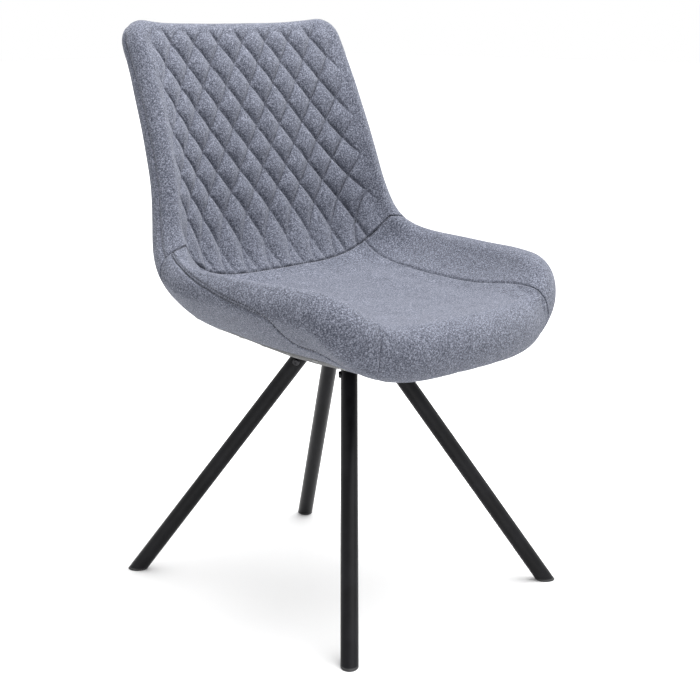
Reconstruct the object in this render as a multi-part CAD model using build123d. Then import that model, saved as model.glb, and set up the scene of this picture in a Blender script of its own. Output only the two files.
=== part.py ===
from build123d import *

import os
from dataclasses import dataclass

import numpy as np

# Upholstered bucket dining chair on four splayed round-tube legs. Millimetres. The origin is on the
# floor under the middle of the chair, +Z is up, -Y is the front and +X is the sitter's left.

# ------------------------------------------------------------------ driving dimensions
# Bucket: a moulded sheet with a seat, two raised wings and a back in one sweep. Its middle surface
# is set by a centre line (in the plane X = 0) and an edge line that stands forward of and above it.
PAN_HEIGHT = 420.0          # middle surface at the lowest part of the seat
SEAT_DEPTH = 402.0          # centre line, from the seat's front edge to the bend under the back
FRONT_EDGE_Y = -256.0       # centre line's front end
BEND_RISE = 58.0            # bend under the back, above the pan
BACK_HEIGHT = 373.0         # centre line, from the bend to the top of the back
BACK_LEAN = 94.0            # the same stretch, measured backwards
WING_RISE = 79.0            # wing edge above the centre line
WAIST_FORWARD = 52.0        # edge line ahead of the centre line where the wing climbs to the back
FRONT_HALF_WIDTH = 203.0
SHOULDER_HALF_WIDTH = 231.0
WING_HALF_WIDTH = 252.0
WAIST_HALF_WIDTH = 233.0
BACK_HALF_WIDTH = 215.0
TOP_HALF_WIDTH = 205.0
SECTION_POWER = 4.0         # how flat the bucket stays before its sides turn up
NOSE_DEPTH = 109.0          # how far the front corners fall back from the front edge
NOSE_POWER = 2.3
TOP_CORNER_RADIUS = 24.0

# Upholstery, measured square to the middle surface.
SEAT_HALF_THICKNESS = 37.0
PAN_HALF_THICKNESS = 32.0
WAIST_HALF_THICKNESS = 27.0
BACK_HALF_THICKNESS = 20.0
ROLL_RATIO = 0.77           # how far the rounded edge stands out, for each mm of half thickness
PLY_THICKNESS = 11.0
PLY_EDGE = 2.0              # rounding of the plywood's edge beyond its outline
COVER_THICKNESS = 1.5
LAYER_GAP = 0.3             # between neighbouring soft layers

SEAM_GAP = 1.0              # between the edges of two cover panels
INNER_SEAM = 0.79           # seat panel to wing panel, as a share of the half width
OUTER_SEAM_ANGLE = 100.0    # wing panel to side cover, round the rolled edge from its inner side

# Underside: a steel plate hung under the seat on spacers, with one screw between each two legs.
PLATE_WIDTH = 150.0
PLATE_LENGTH = 176.0
PLATE_CENTRE_Y = -9.0
PLATE_THICKNESS = 5.0
PLATE_CORNER_RADIUS = 24.0
PLATE_STANDOFF = 3.0        # plate under the lowest point of the seat above it
SCREW_REACH_X = 60.0        # side screws from the plate's centre
SCREW_REACH_Y = 74.0        # front and rear screws from the plate's centre
DUST_COVER_THICKNESS = 0.8
HEM_SHARE = 0.80            # the dust cover's half width, as a share of the bucket's
HEM_FRONT = 34.0            # the dust cover's edge behind the seat's front edge
HEM_REAR = 46.0             # the dust cover's edge before the bend

# Legs: straight tubes, all four aimed at the plate from feet that stand further apart in front.
TUBE_DIAMETER = 25.4
TUBE_WALL = 1.5
FRONT_FOOT = (227.0, -238.0)
REAR_FOOT = (192.0, 272.0)
FRONT_LEG_TOP = (38.5, -58.0)
REAR_LEG_TOP = (29.5, 41.5)
TUBE_TOP_GAP = 0.3          # tube end under the plate
SPIGOT_DROP = 46.0          # spigot's height under the plate
SPIGOT_CLEARANCE = 0.15     # radial, spigot in tube
GLIDE_HEIGHT = 4.0
GLIDE_CHAMFER = 1.2
GLIDE_PLUG_HEIGHT = 18.0
GLIDE_PLUG_CLEARANCE = 0.1  # radial, plug in tube

# Fasteners.
M6_RADIUS = 3.0
M6_HOLE_RADIUS = 3.4
M6_THREAD_GAP = 0.1         # radial, plain shank in a plain nut bore
M6_HEAD_RADIUS = 5.25
M6_HEAD_HEIGHT = 3.4
M6_SOCKET_RADIUS = 2.3      # across the corners
M6_SOCKET_DEPTH = 2.0
WASHER_RADIUS = 8.0
WASHER_THICKNESS = 1.6
SPACER_RADIUS = 11.0
TEE_BARREL_RADIUS = 4.2
TEE_BARREL_GAP = 0.1
TEE_FLANGE_RADIUS = 9.5
TEE_FLANGE_THICKNESS = 1.6
LEG_SCREW_DROP = 24.0       # leg screw under the plate, along the leg
LEG_SCREW_LENGTH = 12.0
STAPLE_WIDTH = 10.0
STAPLE_WIRE = 0.9
STAPLE_PITCH = 42.0
STAPLE_MARGIN = 6.0         # inside the dust cover's edge


# ------------------------------------------------------------------ bucket surface
@dataclass
class Station:
    """One cross-section of the bucket's middle surface."""

    y: float
    z: float
    forward: float          # edge ahead of the centre line
    rise: float             # edge above the centre line
    half_width: float
    half_thickness: float


def seat_station(share, drop, forward, rise, half_width, half_thickness):
    """Station on the seat, at a share of its depth."""
    y = FRONT_EDGE_Y + share * SEAT_DEPTH
    return Station(y, PAN_HEIGHT + drop, forward, rise * WING_RISE, half_width, half_thickness)


def back_station(share, lean, forward, rise, half_width, half_thickness):
    """Station on the back, at a share of its height."""
    y = FRONT_EDGE_Y + SEAT_DEPTH + lean * BACK_LEAN
    z = PAN_HEIGHT + BEND_RISE + share * BACK_HEIGHT
    return Station(y, z, forward, rise * WING_RISE, half_width, half_thickness)


def between(a, b, share):
    """Size part of the way from a to b."""
    return a + (b - a) * share


STATIONS = [
    seat_station(0.00, 5.0, 16.0, 0.11, FRONT_HALF_WIDTH, SEAT_HALF_THICKNESS),
    seat_station(0.12, 2.0, 30.0, 0.66, between(FRONT_HALF_WIDTH, SHOULDER_HALF_WIDTH, 0.64),
                 SEAT_HALF_THICKNESS),
    seat_station(0.28, 0.0, 28.0, 0.97, SHOULDER_HALF_WIDTH, SEAT_HALF_THICKNESS),
    seat_station(0.48, 3.0, 27.0, 1.00, between(SHOULDER_HALF_WIDTH, WING_HALF_WIDTH, 0.50),
                 SEAT_HALF_THICKNESS - 2.0),
    seat_station(0.68, 12.0, 31.0, 0.95, between(SHOULDER_HALF_WIDTH, WING_HALF_WIDTH, 0.83),
                 PAN_HALF_THICKNESS),
    seat_station(0.85, 24.0, 36.0, 0.86, WING_HALF_WIDTH - 1.0, PAN_HALF_THICKNESS - 1.0),
    back_station(0.00, 0.00, 0.93 * WAIST_FORWARD, 0.68, between(WAIST_HALF_WIDTH, WING_HALF_WIDTH, 0.55),
                 WAIST_HALF_THICKNESS),
    back_station(0.17, 0.31, WAIST_FORWARD, 0.39, WAIST_HALF_WIDTH, BACK_HALF_THICKNESS + 2.0),
    back_station(0.38, 0.47, 0.96 * WAIST_FORWARD, 0.17, between(WAIST_HALF_WIDTH, BACK_HALF_WIDTH, 0.60),
                 BACK_HALF_THICKNESS),
    back_station(0.62, 0.65, 0.79 * WAIST_FORWARD, 0.06, BACK_HALF_WIDTH, BACK_HALF_THICKNESS),
    back_station(0.83, 0.82, 0.48 * WAIST_FORWARD, 0.08, between(BACK_HALF_WIDTH, TOP_HALF_WIDTH, 0.65),
                 BACK_HALF_THICKNESS),
    back_station(1.00, 1.00, 0.21 * WAIST_FORWARD, 0.12, TOP_HALF_WIDTH, BACK_HALF_THICKNESS - 0.5),
]


def natural_spline(knots, values):
    """Natural cubic spline through one or more columns of values."""
    knots = np.asarray(knots, float)
    values = np.asarray(values, float).reshape(len(knots), -1)
    step = np.diff(knots)
    count = len(knots)
    matrix = np.eye(count)
    right = np.zeros_like(values)
    for i in range(1, count - 1):
        matrix[i, i - 1:i + 2] = step[i - 1], 2.0 * (step[i - 1] + step[i]), step[i]
        slopes = np.diff(values[i - 1:i + 2], axis=0) / step[i - 1:i + 1, None]
        right[i] = 6.0 * (slopes[1] - slopes[0])
    bend = np.linalg.solve(matrix, right)

    def evaluate(t):
        t = np.asarray(t, float)
        k = np.clip(np.searchsorted(knots, t, side="right") - 1, 0, count - 2)
        before = (t - knots[k])[..., None]
        after = (knots[k + 1] - t)[..., None]
        width = step[k][..., None]
        cubic = (bend[k] * after**3 + bend[k + 1] * before**3) / (6.0 * width)
        linear = ((values[k] / width - bend[k] * width / 6.0) * after
                  + (values[k + 1] / width - bend[k + 1] * width / 6.0) * before)
        return cubic + linear

    return evaluate


class Bucket:
    """Middle surface of the bucket as a function of q (share of the half width) and s (length along it)."""

    def __init__(self, stations):
        centre = np.array([(a.y, a.z) for a in stations])
        edge = centre + np.array([(-a.forward, a.rise) for a in stations])
        runs = np.linalg.norm(np.diff(centre, axis=0), axis=1)
        self.knots = np.concatenate([[0.0], np.cumsum(runs)])
        self.length = self.knots[-1]
        self.centre = natural_spline(self.knots, centre)
        self.edge = natural_spline(self.knots, edge)
        self.width = natural_spline(self.knots, [a.half_width for a in stations])
        self.thickness = natural_spline(self.knots, [a.half_thickness for a in stations])

    def front(self, q):
        """Length at which the outline starts: the nose is a superellipse in q."""
        rest = np.clip(1.0 - np.abs(q)**NOSE_POWER, 0.0, 1.0)
        return NOSE_DEPTH * (1.0 - rest**(1.0 / NOSE_POWER))

    def top(self, q):
        """Length at which the outline ends: straight, with a round at each top corner."""
        corner = TOP_HALF_WIDTH - TOP_CORNER_RADIUS
        past = np.clip(np.abs(q) * TOP_HALF_WIDTH - corner, 0.0, TOP_CORNER_RADIUS)
        return self.length - TOP_CORNER_RADIUS + np.sqrt(TOP_CORNER_RADIUS**2 - past**2)

    def point(self, q, s):
        """Point of the middle surface."""
        low, high = self.centre(s), self.edge(s)
        place = low + (high - low) * (np.abs(q)**SECTION_POWER)[..., None]
        return np.stack([q * self.width(s)[..., 0], place[..., 0], place[..., 1]], -1)

    def normal(self, q, s):
        """Unit normal, towards the sitter."""
        across = self.point(q + 1e-4, s) - self.point(q - 1e-4, s)
        along = self.point(q, s + 0.05) - self.point(q, s - 0.05)
        cross = np.cross(across, along)
        return cross / np.linalg.norm(cross, axis=-1, keepdims=True)

    def half(self, s):
        """Half thickness of the finished upholstery."""
        return self.thickness(s)[..., 0]

    def offset(self, q, s, inset, side):
        """Surface a given inset below the finished surface, on side +1 (sitter) or -1 (outside)."""
        depth = (self.half(s) - inset)[..., None]
        return self.point(q, s) + side * depth * self.normal(q, s)

    def level(self, q, s, height):
        """Surface a fixed height off the middle surface, towards the sitter when positive."""
        return self.point(q, s) + height * self.normal(q, s)


BUCKET = Bucket(STATIONS)
BEND_LENGTH = BUCKET.knots[6]                       # length at which the back begins
SEAM_LENGTH = BEND_LENGTH - 8.0                     # the back and seat panels meet here
FOAM_INSET = COVER_THICKNESS + LAYER_GAP            # outside of the padding, below the finished surface
PLY_FACE = PLY_THICKNESS / 2.0
PADDING_FACE = PLY_FACE + LAYER_GAP                 # inside of the padding, from the middle surface
LAYER_Q = 0.99                                      # the flat layers stop here, inside the rolled edge
EDGE_Q = 0.9995                                     # the rolled edge runs here
FRONT_SWEEP = 88.0                                  # the front roll covers q = sin(-88) to sin(88) degrees
TOP_SWEEP = 86.0
CORNER_GAP = 3.0                                    # between two rolls, along the outline
ROLL_SEAM_GAP = 2.5                                 # between the wing's and the back's rolls


# ------------------------------------------------------------------ solids from surfaces
def spline_face(grid):
    """Smooth face through a grid of points."""
    rows = [[tuple(map(float, point)) for point in row] for row in grid]
    return Face.make_surface_from_array_of_points(rows, tol=0.02)


def side_edges(face, grid):
    """Boundary edges of a grid's face: first row, last column, last row, first column."""
    borders = [grid[0], grid[:, -1], grid[-1], grid[:, 0]]
    middles = [Vector(*map(float, border[len(border) // 2])) for border in borders]
    return [min(face.edges(), key=lambda edge: edge.distance_to(middle)) for middle in middles]


def slab(outer, inner):
    """Closed solid between two grids of points, with ruled sides."""
    top, bottom = spline_face(outer), spline_face(inner)
    pairs = zip(side_edges(top, outer), side_edges(bottom, inner))
    sides = [Face.make_surface_from_curves(a, b) for a, b in pairs]
    return Solid(Shell([top, bottom] + sides))


def at(length):
    """A place along the bucket that is the same for every q."""
    return lambda q: np.full_like(q, length)


def front_edge(q):
    """Where the layers start, just behind the seat's front edge."""
    return BUCKET.front(q) + SEAM_GAP


def top_edge(q):
    """Where the layers end, just below the top of the back."""
    return BUCKET.top(q) - SEAM_GAP


def patch(q_range, s_start, s_end, columns=21, rows=21):
    """Parameter grid over a range of q, between two functions of q that give s."""
    turn = np.linspace(*np.arcsin(q_range), columns)
    q = np.sin(turn)
    share = np.linspace(0.0, 1.0, rows)
    first, last = s_start(q), s_end(q)
    return np.repeat(q[:, None], rows, 1), first[:, None] + share * (last - first)[:, None]


WHOLE = (-LAYER_Q, LAYER_Q)


def layer(q_range, s_start, s_end, outer_inset, inner_inset, side):
    """Layer between two depths below the finished surface, on side +1 (sitter) or -1 (outside)."""
    q, s = patch(q_range, s_start, s_end)
    return slab(BUCKET.offset(q, s, outer_inset, side), BUCKET.offset(q, s, inner_inset, side))


def cover(q_range, s_start, s_end, side):
    """Cover fabric with its backing."""
    return layer(q_range, s_start, s_end, 0.0, COVER_THICKNESS, side)


def padding(q_range, s_start, s_end, side):
    """Foam between the plywood and the cover."""
    q, s = patch(q_range, s_start, s_end)
    return slab(BUCKET.offset(q, s, FOAM_INSET, side), BUCKET.level(q, s, side * PADDING_FACE))


@dataclass
class Outline:
    """Stretch of the bucket's outline; turn is the sign that makes outward point out."""

    q: np.ndarray
    s: np.ndarray
    turn: float

    def half_ellipse(self, angles, reach_in, reach_out):
        """Surface swept along the outline, from its inner side (0 degrees) to its outer side (180)."""
        point, normal = BUCKET.point(self.q, self.s), BUCKET.normal(self.q, self.s)
        tangent = np.gradient(point, axis=0)
        outward = np.cross(tangent, normal) * self.turn
        outward /= np.linalg.norm(outward, axis=1, keepdims=True)
        angle = np.radians(np.linspace(*angles, 13))
        inward = (reach_in[:, None] * np.cos(angle))[..., None] * normal[:, None]
        return point[:, None] + inward + (reach_out[:, None] * np.sin(angle))[..., None] * outward[:, None]

    def surface(self, angles, inset):
        """Rounded edge at a depth below the finished surface."""
        half = BUCKET.half(self.s)
        return self.half_ellipse(angles, half - inset, half * ROLL_RATIO - inset)

    def roll(self):
        """Foam round the plywood's edge."""
        round_ply = np.full_like(self.s, PADDING_FACE), np.full_like(self.s, PLY_EDGE + LAYER_GAP)
        return slab(self.surface((0.0, 180.0), FOAM_INSET), self.half_ellipse((0.0, 180.0), *round_ply))

    def band(self, angles=(0.0, 180.0)):
        """Cover over part of the rounded edge."""
        return slab(self.surface(angles, 0.0), self.surface(angles, COVER_THICKNESS))


def front_outline():
    """Outline round the seat's front edge."""
    q = np.sin(np.radians(np.linspace(-FRONT_SWEEP, FRONT_SWEEP, 25)))
    return Outline(q, BUCKET.front(q), 1.0)


def top_outline():
    """Outline over the top of the back."""
    q = np.sin(np.radians(np.linspace(-TOP_SWEEP, TOP_SWEEP, 31)))
    return Outline(q, BUCKET.top(q), -1.0)


def side_outline(side, s_first, s_last):
    """Outline up one side, +1 the sitter's left."""
    s = np.linspace(s_first, s_last, 31)
    return Outline(np.full_like(s, side * EDGE_Q), s, side)


def wing_outline(side):
    """Outline along a wing, from the front corner to the back seam."""
    return side_outline(side, front_outline().s[0] + CORNER_GAP, SEAM_LENGTH - ROLL_SEAM_GAP)


def back_outline(side):
    """Outline up a side of the back, from the seam to the top corner."""
    return side_outline(side, SEAM_LENGTH + ROLL_SEAM_GAP, top_outline().s[0] - CORNER_GAP)


# ------------------------------------------------------------------ underside heights
def underside_height(x, y, reach_x, reach_y):
    """Lowest point of the finished underside over a rectangle."""
    q, s = patch(WHOLE, front_edge, at(BEND_LENGTH), 121, 161)
    surface = BUCKET.offset(q, s, 0.0, -1)
    over = (np.abs(surface[..., 0] - x) <= reach_x) & (np.abs(surface[..., 1] - y) <= reach_y)
    return float(surface[over][:, 2].min())


def plywood_top(x, y):
    """Highest point of the plywood's upper face over a tee nut's flange."""
    q, s = patch(WHOLE, front_edge, at(BEND_LENGTH), 121, 161)
    surface = BUCKET.level(q, s, PLY_FACE)
    over = np.hypot(surface[..., 0] - x, surface[..., 1] - y) <= TEE_FLANGE_RADIUS
    return float(surface[over][:, 2].max())


PLATE_TOP = underside_height(0.0, PLATE_CENTRE_Y, PLATE_WIDTH / 2, PLATE_LENGTH / 2) - PLATE_STANDOFF
PLATE_BOTTOM = PLATE_TOP - PLATE_THICKNESS
SCREW_PLACES = [(SCREW_REACH_X, PLATE_CENTRE_Y), (-SCREW_REACH_X, PLATE_CENTRE_Y),
                (0.0, PLATE_CENTRE_Y - SCREW_REACH_Y), (0.0, PLATE_CENTRE_Y + SCREW_REACH_Y)]


def upright(radius, low, high, x=0.0, y=0.0):
    """Vertical cylinder between two heights."""
    return Pos(x, y, (low + high) / 2) * Cylinder(radius, high - low)


def drilled(solid, radius):
    """Piece with a vertical hole at each plate screw."""
    low, high = PLATE_BOTTOM - M6_HEAD_HEIGHT, PAN_HEIGHT + WING_RISE
    for x, y in SCREW_PLACES:
        solid = solid - upright(radius, low, high, x, y)
    return solid


# ------------------------------------------------------------------ bucket and upholstery
def plywood_shell():
    """Moulded plywood bucket, drilled for the tee nuts."""
    q, s = patch(WHOLE, front_edge, top_edge, 25, 41)
    sheet = slab(BUCKET.level(q, s, PLY_FACE), BUCKET.level(q, s, -PLY_FACE))
    return drilled(sheet, TEE_BARREL_RADIUS + TEE_BARREL_GAP)


def seat_foam():
    """Middle of the seat's foam, with room for the tee nuts' flanges."""
    foam = padding((-INNER_SEAM, INNER_SEAM), front_edge, at(SEAM_LENGTH - SEAM_GAP), 1)
    for x, y in SCREW_PLACES:
        top = plywood_top(x, y) + TEE_FLANGE_THICKNESS + 2 * LAYER_GAP
        foam = foam - upright(TEE_FLANGE_RADIUS + LAYER_GAP, top - 3 * TEE_FLANGE_THICKNESS, top, x, y)
    return foam


def side_range(side, inner, outer):
    """Range of q on one side of the bucket, in rising order."""
    return tuple(sorted((side * inner, side * outer)))


def wing_foam(side):
    """Foam on one wing, beside the seat foam."""
    gap = LAYER_GAP / WING_HALF_WIDTH
    return padding(side_range(side, INNER_SEAM + gap, LAYER_Q), front_edge, at(SEAM_LENGTH - SEAM_GAP), 1)


def back_foam():
    """Foam on the front of the back."""
    return padding(WHOLE, at(SEAM_LENGTH + SEAM_GAP), top_edge, 1)


def under_padding():
    """Padding under the seat, with holes for the plate screws."""
    return drilled(padding(WHOLE, front_edge, at(SEAM_LENGTH - SEAM_GAP), -1), M6_HOLE_RADIUS)


def rear_padding():
    """Padding behind the back."""
    return padding(WHOLE, at(SEAM_LENGTH + SEAM_GAP), top_edge, -1)


def quilted_back_panel():
    """Front cover of the back."""
    return cover(WHOLE, at(SEAM_LENGTH + SEAM_GAP), top_edge, 1)


def hem_front(q):
    """Front edge of the dust cover."""
    return BUCKET.front(q) + HEM_FRONT


def seat_panel():
    """Cover of the seat's middle, over the front edge and under it to the dust cover."""
    top = cover((-INNER_SEAM, INNER_SEAM), front_edge, at(SEAM_LENGTH - SEAM_GAP), 1)
    under = cover((-HEM_SHARE, HEM_SHARE), front_edge, hem_front, -1)
    return [top, front_outline().band(), under]


def wing_panel(side):
    """Cover of a wing's inner side, over its edge to the outer seam."""
    gap = SEAM_GAP / WING_HALF_WIDTH
    inner = cover(side_range(side, INNER_SEAM + gap, LAYER_Q), front_edge, at(SEAM_LENGTH - SEAM_GAP), 1)
    return [inner, wing_outline(side).band((0.0, OUTER_SEAM_ANGLE))]


def side_cover(side):
    """Cover of a wing's outer side, from the outer seam to the dust cover."""
    gap = SEAM_GAP / WING_HALF_WIDTH
    under = cover(side_range(side, HEM_SHARE + gap, LAYER_Q), front_edge, at(SEAM_LENGTH - SEAM_GAP), -1)
    return [wing_outline(side).band((OUTER_SEAM_ANGLE + 2.0, 180.0)), under]


def rear_cover():
    """Cover of the back's rear and sides, from the dust cover up."""
    rear = cover(WHOLE, at(SEAM_LENGTH + SEAM_GAP), top_edge, -1)
    middle = cover((-HEM_SHARE, HEM_SHARE), at(SEAM_LENGTH - HEM_REAR), at(SEAM_LENGTH - SEAM_GAP), -1)
    return [rear, middle] + [back_outline(side).band() for side in (-1, 1)]


def top_band():
    """Cover strip over the top edge of the back."""
    return top_outline().band()


def dust_cover():
    """Thin non-woven cloth over the underside, with holes for the plate screws."""
    cloth = layer((-HEM_SHARE, HEM_SHARE), lambda q: hem_front(q) + SEAM_GAP,
                  at(SEAM_LENGTH - HEM_REAR - SEAM_GAP), 0.0, DUST_COVER_THICKNESS, -1)
    return drilled(cloth, M6_HOLE_RADIUS)


def staples():
    """Staple crowns along the dust cover's edge."""
    margin = STAPLE_MARGIN / WING_HALF_WIDTH
    q_side = HEM_SHARE - margin
    first = float(hem_front(np.array(q_side))) + SEAM_GAP + STAPLE_MARGIN
    last = SEAM_LENGTH - HEM_REAR - SEAM_GAP - STAPLE_MARGIN
    along = np.linspace(first, last, int((last - first) // STAPLE_PITCH) + 1)
    across = np.linspace(-q_side, q_side, int(2 * q_side * WING_HALF_WIDTH // STAPLE_PITCH) + 1)[1:-1]
    places = [(side * q_side, s, 0.0, 1.0) for side in (-1, 1) for s in along]
    places += [(q, last, 1.0, 0.0) for q in across]
    places += [(q, float(hem_front(q)) + SEAM_GAP + STAPLE_MARGIN, 1.0, 0.0) for q in across]
    crowns = []
    for q, s, step_q, step_s in places:
        q, s = np.array(q), np.array(s)
        normal = -BUCKET.normal(q, s)
        point = BUCKET.offset(q, s, 0.0, -1) + normal * (STAPLE_WIRE / 2 + LAYER_GAP)
        along_edge = BUCKET.point(q + 0.01 * step_q, s + step_s) - BUCKET.point(q, s)
        frame = Plane(origin=tuple(point), x_dir=tuple(along_edge), z_dir=tuple(normal))
        crowns.append(frame * Box(STAPLE_WIDTH, STAPLE_WIRE, STAPLE_WIRE))
    return crowns


# ------------------------------------------------------------------ underside
def mounting_plate():
    """Steel plate that carries the four legs."""
    outline = RectangleRounded(PLATE_WIDTH, PLATE_LENGTH, PLATE_CORNER_RADIUS)
    return drilled(Pos(0, PLATE_CENTRE_Y, PLATE_BOTTOM) * extrude(outline, PLATE_THICKNESS), M6_HOLE_RADIUS)


def screw(length):
    """Button-head socket screw: head under z = 0 with its shank going up."""
    shank = upright(M6_RADIUS, 0.0, length)
    head = upright(M6_HEAD_RADIUS, -M6_HEAD_HEIGHT, 0.0)
    head = fillet(head.edges().sort_by(Axis.Z)[0], M6_HEAD_HEIGHT * 0.7)
    socket = extrude(Pos(0, 0, -M6_HEAD_HEIGHT) * RegularPolygon(M6_SOCKET_RADIUS, 6), M6_SOCKET_DEPTH)
    return shank + head - socket


def spacers():
    """Turned spacers between the plate and the seat, each as tall as its place needs."""
    pieces = []
    for x, y in SCREW_PLACES:
        top = underside_height(x, y, SPACER_RADIUS, SPACER_RADIUS) - LAYER_GAP
        puck = upright(SPACER_RADIUS, PLATE_TOP, top, x, y)
        pieces.append(puck - upright(M6_HOLE_RADIUS, PLATE_TOP, top, x, y))
    return pieces


def plate_washers():
    """Washers under the plate."""
    low = PLATE_BOTTOM - WASHER_THICKNESS
    return [upright(WASHER_RADIUS, low, PLATE_BOTTOM, x, y)
            - upright(M6_HOLE_RADIUS, low, PLATE_BOTTOM, x, y) for x, y in SCREW_PLACES]


def plate_screws():
    """Screws through the plate and the spacers into the tee nuts."""
    head = PLATE_BOTTOM - WASHER_THICKNESS
    return [Pos(x, y, head) * screw(plywood_top(x, y) - head) for x, y in SCREW_PLACES]


def tee_nuts():
    """Tee nuts: a barrel in the plywood and a flange on its upper face."""
    pieces = []
    for x, y in SCREW_PLACES:
        seat = plywood_top(x, y) + LAYER_GAP
        body = upright(TEE_BARREL_RADIUS, seat - PLY_THICKNESS, seat, x, y)
        body = body + upright(TEE_FLANGE_RADIUS, seat, seat + TEE_FLANGE_THICKNESS, x, y)
        bore = upright(M6_RADIUS + M6_THREAD_GAP, seat - PLY_THICKNESS, seat + TEE_FLANGE_THICKNESS, x, y)
        pieces.append(body - bore)
    return pieces


# ------------------------------------------------------------------ legs
@dataclass
class Leg:
    """One leg's place: side +1 is the sitter's left."""

    side: int
    foot: tuple
    top: tuple

    def frame(self):
        """Plane at the leg's top: z runs down the leg, x is level and points to the chair's middle."""
        head = Vector(self.side * self.top[0], self.top[1], PLATE_BOTTOM)
        down = Vector(self.side * self.foot[0], self.foot[1], 0.0) - head
        across = Vector(-down.Y, down.X, 0.0).normalized()
        middle = Vector(0.0, PLATE_CENTRE_Y, 0.0) - Vector(head.X, head.Y, 0.0)
        inward = across if across.dot(middle) > 0 else -across
        return Plane(origin=head, x_dir=inward, z_dir=down)

    def rod(self, radius):
        """Long cylinder on the leg's axis."""
        return self.frame() * Cylinder(radius, 3.0 * PLATE_BOTTOM)


INNER_RADIUS = TUBE_DIAMETER / 2 - TUBE_WALL
LEGS = {}
for name, side in (("left", 1), ("right", -1)):
    LEGS["front_" + name] = Leg(side, FRONT_FOOT, FRONT_LEG_TOP)
    LEGS["rear_" + name] = Leg(side, REAR_FOOT, REAR_LEG_TOP)


def level_cut(solid, low, high):
    """The part of a solid between two heights."""
    reach = 4.0 * WING_HALF_WIDTH
    return solid & (Pos(0, 0, (low + high) / 2) * Box(reach, reach, high - low))


def leg_screw_frame(leg):
    """Plane at a leg screw's head seat on the tube, its z axis into the leg."""
    frame = leg.frame()
    seat = frame.origin + frame.z_dir * LEG_SCREW_DROP + frame.x_dir * (TUBE_DIAMETER / 2)
    return Plane(origin=seat, z_dir=-frame.x_dir)


def leg_tube(leg):
    """Tube with both ends cut level, and a hole for its screw."""
    tube = leg.rod(TUBE_DIAMETER / 2) - leg.rod(INNER_RADIUS)
    tube = level_cut(tube, GLIDE_HEIGHT, PLATE_BOTTOM - TUBE_TOP_GAP)
    hole = leg_screw_frame(leg) * Cylinder(M6_HOLE_RADIUS, 2.5 * TUBE_WALL)
    return tube - hole


def leg_spigot(leg):
    """Solid spigot welded under the plate, tapped for the leg screw."""
    rod = level_cut(leg.rod(INNER_RADIUS - SPIGOT_CLEARANCE), PLATE_BOTTOM - SPIGOT_DROP, PLATE_BOTTOM)
    depth = LEG_SCREW_LENGTH + M6_THREAD_GAP
    return rod - leg_screw_frame(leg) * upright(M6_RADIUS + M6_THREAD_GAP, 0.0, depth)


def foot_glide(leg):
    """Plastic glide: a chamfered foot under the tube's end and a plug inside it."""
    foot = level_cut(leg.rod(TUBE_DIAMETER / 2), 0.0, GLIDE_HEIGHT)
    foot = chamfer(foot.edges().sort_by(Axis.Z)[0], GLIDE_CHAMFER)
    plug = level_cut(leg.rod(INNER_RADIUS - GLIDE_PLUG_CLEARANCE), GLIDE_HEIGHT / 2,
                     GLIDE_HEIGHT + GLIDE_PLUG_HEIGHT)
    return foot + plug


def leg_screws():
    """One screw locks each leg to its spigot."""
    return [leg_screw_frame(leg) * screw(LEG_SCREW_LENGTH) for leg in LEGS.values()]


# ------------------------------------------------------------------ assembly
def rolls():
    """Foam round the bucket's edge, in six lengths."""
    named = {"front_edge_roll": front_outline().roll(), "top_edge_roll": top_outline().roll()}
    for name, side in (("left", 1), ("right", -1)):
        named[name + "_wing_roll"] = wing_outline(side).roll()
        named[name + "_back_roll"] = back_outline(side).roll()
    return named


def sided():
    """Pieces that come as a left and a right one."""
    named = {}
    for name, side in (("left", 1), ("right", -1)):
        named[name + "_wing_foam"] = wing_foam(side)
        named[name + "_wing_panel"] = wing_panel(side)
        named[name + "_side_cover"] = side_cover(side)
    return named


def leg_pieces():
    """Tube, spigot and glide of each leg."""
    named = {}
    for place, leg in LEGS.items():
        named["leg_" + place] = leg_tube(leg)
        named["leg_spigot_" + place] = leg_spigot(leg)
        named["foot_glide_" + place] = foot_glide(leg)
    return named


def assembly():
    """Every node by name."""
    parts = {
        "plywood_shell": plywood_shell(), "seat_foam": seat_foam(), "back_foam": back_foam(),
        "under_padding": under_padding(), "rear_padding": rear_padding(),
        "quilted_back_panel": quilted_back_panel(), "seat_panel": seat_panel(), "rear_cover": rear_cover(),
        "top_band": top_band(), "dust_cover": dust_cover(), "staples": staples(),
        "mounting_plate": mounting_plate(), "spacers": spacers(), "plate_washers": plate_washers(),
        "plate_screws": plate_screws(), "tee_nuts": tee_nuts(), "leg_screws": leg_screws(),
    }
    return {**parts, **rolls(), **sided(), **leg_pieces()}


def write(name, piece):
    """Write one node as a STEP file; a list becomes a group of separate solids."""
    solids = piece if isinstance(piece, list) else [piece]
    solids = [solid for shape in solids for solid in shape.solids()]
    node = solids[0] if len(solids) == 1 else Compound(children=solids)
    node.label = name
    export_step(node, os.path.join("parts", name + ".step"))


os.makedirs("parts", exist_ok=True)
for part_name, part_piece in assembly().items():
    write(part_name, part_piece)
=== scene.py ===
"""Looks of an upholstered bucket dining chair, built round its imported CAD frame.

Metres; the origin is on the floor under the middle of the chair, +Z is up, -Y is the front and +X is
the sitter's left. The upholstery is worked out on the same bucket form as the CAD solids.
"""
import logging
import math
from dataclasses import dataclass, field
from enum import Enum
from typing import Callable, Sequence

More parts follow.
